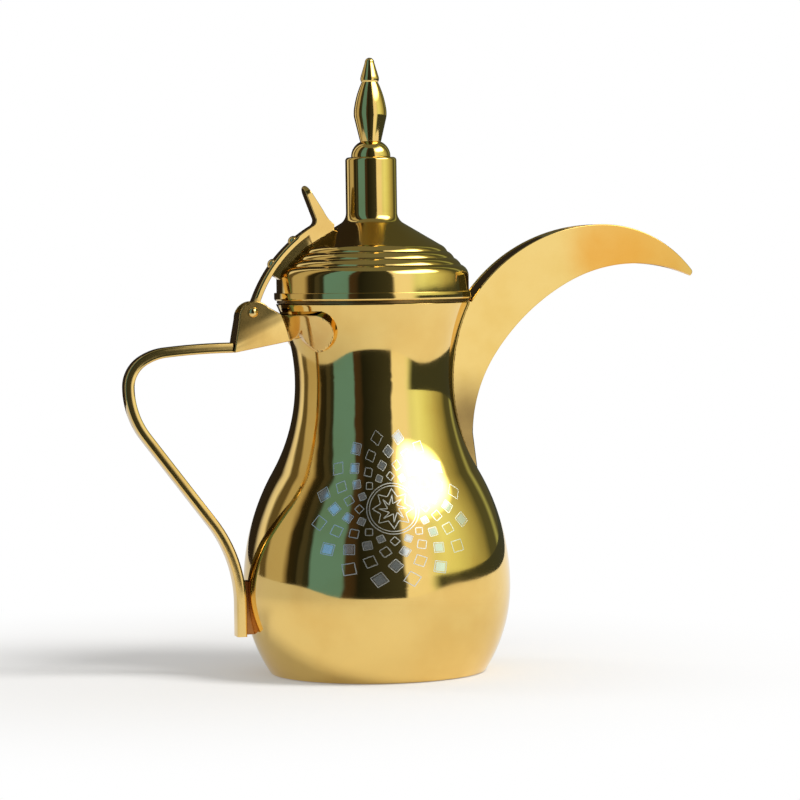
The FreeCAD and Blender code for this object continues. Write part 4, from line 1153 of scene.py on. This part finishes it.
def thumb_shape(place):
    """Lever with a strap that narrows towards the tab, a rib that widens, and a tab with round corners."""
    spot = place / MM
    if abs(spot.y) < LEVER_HALF - SIDE_MARGIN:
        return Vector((place.x, place.y * (1 + RIB_TAPER * (spot.x - RIB_START)), place.z))
    share = 1 - STRAP_TAPER * max(0, spot.x - STRAP_FULL)
    inside = (spot - tab_tip).dot(tab_axis) + TAB_CORNER
    if inside > 0 and spot.z > TAB_LOW:
        round_in = math.sqrt(max(0, TAB_CORNER ** 2 - inside ** 2))
        share *= (LEVER_HALF - TAB_CORNER + round_in) / LEVER_HALF
    return Vector((place.x, place.y * share, place.z))


lever_cuts = [((tab_tip - tab_axis * back) * MM, tab_axis) for back in (4.2, 3.2, 2.3, 1.5, 0.9, 0.4)]
lever_cuts.append((Vector((STRAP_FULL, 0, 0)) * MM, Vector((1, 0, 0))))
lever = eased(
    "lid_lever_casting", "lid_lever", cast_gold, width=1.1, segments=4, weigh=worn_edge, cuts=lever_cuts,
    shape=thumb_shape,
)
dress(lever, "lid", "cast_gold", "lid_lever")


# Lever rivets. Two brass rivets hold the strap to the dome, each with a domed head on the strap and a
# smaller one hammered over inside the dome.

RIVET_HEADINGS = (math.radians(53), math.radians(40))
RIVET_RADIUS = 1.5
RIVET_HEAD = 2.6
RIVET_RISE = 1.7
RIVET_TAIL = 2.25


def rivet_group():
    """Tree that sets a button on each point, turned to the point's heading and scaled to its size."""
    pen, wires = node_group("rivets", Button="Object", Finish="Material")
    kind = "InputNamedAttribute"
    heading = pen.make(kind, {"Name": "heading"}, data_type="FLOAT_VECTOR")
    size = pen.make(kind, {"Name": "size"}, data_type="FLOAT")
    turn = pen.make("AlignRotationToVector", {"Vector": heading}, axis="Z")
    button = pen.make("ObjectInfo", {"Object": wires["Button"]}, "Geometry")
    buttons = pen.make(
        "InstanceOnPoints", {"Points": wires["Mesh"], "Instance": button, "Rotation": turn, "Scale": size}
    )
    return end_group(pen, buttons, wires["Finish"])


def rivet_ends():
    """Places, headings and sizes of the heads on the strap and of the tails inside the dome."""
    low = Vector((-inner_shoulder[0], 0, inner_shoulder[1]))
    high = Vector((sink.x - beads[2][0], 0, beads[2][1] - sink.y))
    square = Vector((low.z - high.z, 0, high.x - low.x))
    for heading in RIVET_HEADINGS:
        out = Vector((-math.sin(heading), 0, math.cos(heading)))
        head = strap_centre + out * LEVER_ARC
        yield head, out, 1.0
        yield head - out * (square.dot(head - low) / square.dot(out)), -out, RIVET_TAIL / RIVET_HEAD


button = turned(
    "rivet_button", pin_gold,
    [
        (0, -RIVET_RADIUS),
        (RIVET_RADIUS, -RIVET_RADIUS),
        (RIVET_RADIUS, 0),
        (RIVET_HEAD, 0),
        (0, RIVET_RISE),
    ],
    {3: ((RIVET_HEAD ** 2 + RIVET_RISE ** 2) / (2 * RIVET_RISE), 1)},
    {3: 0.2},
    step=0.3, steps=40,
)
ends = list(rivet_ends())
rivet_points = bpy.data.meshes.new("rivet_points")
rivet_points.from_pydata([place * MM for place, heading, size in ends], [], [])
rivet_points.attributes.new("heading", "FLOAT_VECTOR", "POINT")
rivet_points.attributes.new("size", "FLOAT", "POINT")
for i, (place, heading, size) in enumerate(ends):
    rivet_points.attributes["heading"].data[i].vector = heading
    rivet_points.attributes["size"].data[i].value = size
RIVETS = rivet_group()
rivets = grown("lever_rivet_pair", rivet_points, RIVETS, Button=button, Finish=pin_gold)
soften(rivets)
bpy.data.objects.remove(button)
dress(rivets, "lid", "cast_gold", "lever_rivets")


# Studio. A pale floor that runs out to white, a soft box high on each side, and a round tent of cloth in
# soft stripes, with one bright panel, that only the polish mirrors.

VIEW_YAW = math.radians(15)
VIEW_ROLL = math.radians(-0.8)
VIEW_SHIFT = 0.0126
VIEW_AIM = 0.1329
VIEW_HEIGHT = 0.206
VIEW_DISTANCE = 1.65
camera_right = Vector((math.cos(VIEW_YAW), -math.sin(VIEW_YAW), 0))
camera_side = Vector((-math.sin(VIEW_YAW), -math.cos(VIEW_YAW), 0))
camera_data = bpy.data.cameras.new("view")
camera_data.sensor_width = 36
camera_data.lens = 151.9
camera_data.clip_end = 50
camera = new_object("view", camera_data)
aim = camera_right * VIEW_SHIFT + Vector((0, 0, VIEW_AIM))
camera.location = camera_right * VIEW_SHIFT + camera_side * VIEW_DISTANCE + Vector((0, 0, VIEW_HEIGHT))
look = (aim - camera.location).to_track_quat("-Z", "Y").to_matrix()
camera.rotation_euler = (look @ Matrix.Rotation(VIEW_ROLL, 3, "Z")).to_euler()
bpy.context.scene.camera = camera
bpy.context.scene.view_settings.view_transform = "Standard"


def towards(bearing):
    """Level direction from the pot, by its bearing to the right of the camera."""
    return camera_side * math.cos(bearing) + camera_right * math.sin(bearing)


SHADOW_MIDDLE = -0.07
SHADOW_REACH = (0.08, 0.34)
SHADOW_WHITE = 0.18


def side_shade(pen, place):
    """What the pale set loses in the polish, more on the left than on the right."""
    right = pen.measure("DOT_PRODUCT", place, camera_right)
    return soft_step(pen, right, -0.5, 0.4, first=0.36, last=0.04)


def ray_kinds(pen):
    """Whether a ray comes from the camera, from a mirror or through glass."""
    rays = pen.make("LightPath")
    return [rays.other(f"Is {kind} Ray") for kind in ("Camera", "Glossy", "Transmission")]


def backdrop_finish(name, colour):
    """Matt floor with the pot's shadow, which runs out to white for the camera, mirrors and glass."""
    material, pen = blank_material(name)
    seen, mirrored, passed = ray_kinds(pen)
    place = pen.make("TexCoord", out="Object")
    away = pen.measure("DISTANCE", place, camera_right * SHADOW_MIDDLE)
    far = soft_step(pen, away, *SHADOW_REACH, first=SHADOW_WHITE)
    matt = pen.make("BsdfDiffuse", {"Color": (*colour, 1)})
    bright = 1 - mirrored * side_shade(pen, place)
    white = pen.make("Emission", {"Color": (1, 1, 1, 1), "Strength": bright})
    share = (seen + mirrored + passed) * far
    shade = pen.make("MixShader", {0: share, 1: matt, 2: white})
    pen.make("OutputMaterial", {"Surface": shade})
    return material


def level_sheet(name, half, height, material):
    """Square sheet of the set, level and centred on the pot."""
    mesh = bpy.data.meshes.new(name)
    corners = [(x * half, y * half, height) for x, y in ((-1, -1), (1, -1), (1, 1), (-1, 1))]
    mesh.from_pydata(corners, [], [range(len(corners))])
    mesh.materials.append(material)
    piece = new_object(name, mesh)
    return piece


FLOOR_HALF = 6.0
level_sheet("floor", FLOOR_HALF, 0, backdrop_finish("floor_white", (0.85, 0.84, 0.82)))

# A stripe is a bearing, in degrees to the right of the camera as seen from the pot, and a colour.
STRIPES = (
    (-137, (0.025, 0.02, 0.015)),
    (-131, (0.75, 0.74, 0.70)),
    (-124, (0.90, 0.90, 0.86)),
    (-120, (0.12, 0.10, 0.06)),
    (-111, (0.12, 0.10, 0.06)),
    (-107, (0.50, 0.46, 0.35)),
    (-89, (0.52, 0.48, 0.37)),
    (-85, (0.26, 0.22, 0.15)),
    (-82, (0.03, 0.025, 0.015)),
    (-73, (0.02, 0.02, 0.015)),
    (-71, (0.06, 0.06, 0.05)),
    (-66, (0.055, 0.055, 0.045)),
    (-64, (0.03, 0.035, 0.03)),
    (-60, (0.03, 0.035, 0.03)),
    (-58, (0.125, 0.31, 0.50)),
    (-29, (0.125, 0.31, 0.50)),
    (-27, (0.06, 0.04, 0.028)),
    (-19, (0.045, 0.034, 0.026)),
    (-15, (0.014, 0.016, 0.014)),
    (24.5, (0.05, 0.055, 0.045)),
    (26.5, (1.0, 1.0, 0.96)),
    (44, (1.0, 1.0, 0.93)),
    (54, (0.86, 0.98, 0.70)),
    (64, (0.94, 1.10, 0.74)),
    (76, (0.84, 0.96, 0.58)),
    (96, (0.56, 0.58, 0.32)),
    (112, (0.32, 0.32, 0.16)),
    (121, (0.09, 0.10, 0.06)),
    (131, (0.09, 0.10, 0.06)),
    (137, (0.40, 0.47, 0.22)),
    (144, (0.08, 0.085, 0.05)),
)
TENT_RADIUS = 2.7
TENT_HEIGHT = 5.0
PANEL_BEARING = math.radians(66)
PANEL_WIDTH = math.radians(35)
PANEL_MIDDLE = 2.75
PANEL_RISE = 1.15
PANEL_POWER = 4.5
HEM_HEIGHT = 0.2
HEM_START = (math.radians(46), math.radians(58))


def lit_cloth(pen, colour, strength):
    """Ends a material as a cloth that glows evenly from behind."""
    glow = pen.make("Emission", {"Color": colour, "Strength": strength})
    pen.make("OutputMaterial", {"Surface": glow})


def tent_finish():
    """Cloth in soft upright stripes over a dark hem, with one bright panel."""
    material, pen = blank_material("tent_cloth")
    place = pen.make("TexCoord", out="Object")
    height = pen.make("SeparateXYZ", {0: place}, "Z")
    right = pen.measure("DOT_PRODUCT", place, camera_right)
    front = pen.measure("DOT_PRODUCT", place, camera_side)
    bearing = pen.maths("ARCTAN2", right, front)
    flutter = noise(pen, place, scale=1.2, detail=2)
    share = bearing / (2 * math.pi) + 0.5 + (flutter - 0.5) * 0.02
    stripes = pen.make("ValToRGB", {0: share})
    ramp = stripes.socket.node.color_ramp.elements
    ramp.remove(ramp[1])
    for k, (turn, colour) in enumerate(STRIPES):
        stop = ramp.new(turn / 360 + 0.5) if k else ramp[0]
        stop.position = turn / 360 + 0.5
        stop.color = (*colour, 1)
    under = pen.maths("LESS_THAN", height, HEM_HEIGHT)
    beside = soft_step(pen, bearing, *HEM_START)
    stripes = mixed(pen, under * beside, stripes, (0.05, 0.06, 0.05, 1))
    across = (bearing - PANEL_BEARING) / PANEL_WIDTH
    up = (height - PANEL_MIDDLE) / PANEL_RISE
    off = across * across * across * across + up * up * up * up
    lit = soft_step(pen, off, 0.05, 1.4, first=1, last=0)
    lit_cloth(pen, mixed(pen, lit, stripes, (1, 1, 0.92, 1)), 1 + lit * PANEL_POWER)
    return material


def unseen(piece):
    """Keeps a set piece to what the polish mirrors."""
    for ray in ("camera", "diffuse", "shadow", "transmission"):
        setattr(piece, f"visible_{ray}", False)


GROUND_FRONT = 0.40
GROUND_SIDE = 0.62
GROUND_BACK = 1.0
RIM_HEIGHT = 0.034
RIM_LEAST = 0.003
RIM_START = 25
RIM_RUN = 45
CARD_LIFT = 0.002
TURN_STEP = 2


def ground_edge(turn):
    """Distance of the round edge of the pale ground."""
    depth = GROUND_FRONT if math.cos(turn) > 0 else GROUND_BACK
    return 1 / math.hypot(math.cos(turn) / depth, math.sin(turn) / GROUND_SIDE)


def rim_height(turn):
    """Height of the pale rim along the ground's edge, which runs out to nothing in front."""
    share = min(max((abs(math.degrees(turn)) - RIM_START) / RIM_RUN, 0), 1)
    return RIM_LEAST + RIM_HEIGHT * share * share * (3 - 2 * share)


def tent():
    """Round wall of cloth, with a card of the same cloth from its foot to the rim of the pale ground."""
    spots = []
    turns = [math.radians(bearing) for bearing in range(-180, 180, TURN_STEP)]
    for turn in turns:
        heading = towards(turn)
        edge = heading * ground_edge(turn)
        wall = heading * TENT_RADIUS
        rise = Vector((0, 0, 1))
        spots += [edge, edge + rise * rim_height(turn), wall + rise * CARD_LIFT, wall + rise * TENT_HEIGHT]
    faces = []
    for k in range(len(turns)):
        near = 4 * k
        next_one = 4 * ((k + 1) % len(turns))
        faces += [(near + r, next_one + r, next_one + r + 1, near + r + 1) for r in range(3)]
    mesh = bpy.data.meshes.new("tent")
    mesh.from_pydata(spots, [], faces)
    mesh.materials.append(tent_finish())
    rim_cloth, pen = blank_material("rim_cloth")
    lit_cloth(pen, (1, 1, 1, 1), 1 - side_shade(pen, pen.make("TexCoord", out="Object")))
    mesh.materials.append(rim_cloth)
    for face in list(mesh.polygons)[::3]:
        face.material_index = 1
    piece = new_object("tent", mesh)
    return piece


unseen(tent())
ceiling_cloth, ceiling_pen = blank_material("ceiling_cloth")
lit_cloth(ceiling_pen, (0.18, 0.19, 0.15, 1), 1.0)
CEILING_HALF = 3.0
unseen(level_sheet("ceiling", CEILING_HALF, TENT_HEIGHT, ceiling_cloth))


POT_MIDDLE = Vector((0, 0, 0.14))


def lamp(name, bearing, height, distance, width, depth, power):
    """Soft box that looks at the middle of the set and that the polish does not mirror."""
    data = bpy.data.lights.new(name, "AREA")
    data.shape = "RECTANGLE"
    data.size = width
    data.size_y = depth
    data.energy = power
    box = new_object(name, data)
    box.location = towards(math.radians(bearing)) * distance + Vector((0, 0, height))
    box.rotation_euler = (POT_MIDDLE - box.location).to_track_quat("-Z", "Y").to_euler()
    box.visible_glossy = False


lamp("key", bearing=62, height=2.2, distance=1.7, width=0.8, depth=1.1, power=55)
lamp("fill", bearing=-110, height=1.6, distance=2.2, width=0.7, depth=1.2, power=10)

world = bpy.data.worlds.new("studio_air")
world.use_nodes = True
bpy.context.scene.world = world
world.node_tree.nodes.clear()
air = Wire(world.node_tree)
seen, mirrored, passed = ray_kinds(air)
AIR_LIGHT = 0.45
brightness = AIR_LIGHT + (seen + mirrored + passed) * (1 - AIR_LIGHT)
sky = air.make("Background", {"Color": (1, 1, 1, 1), "Strength": brightness})
air.make("OutputWorld", {"Surface": sky})
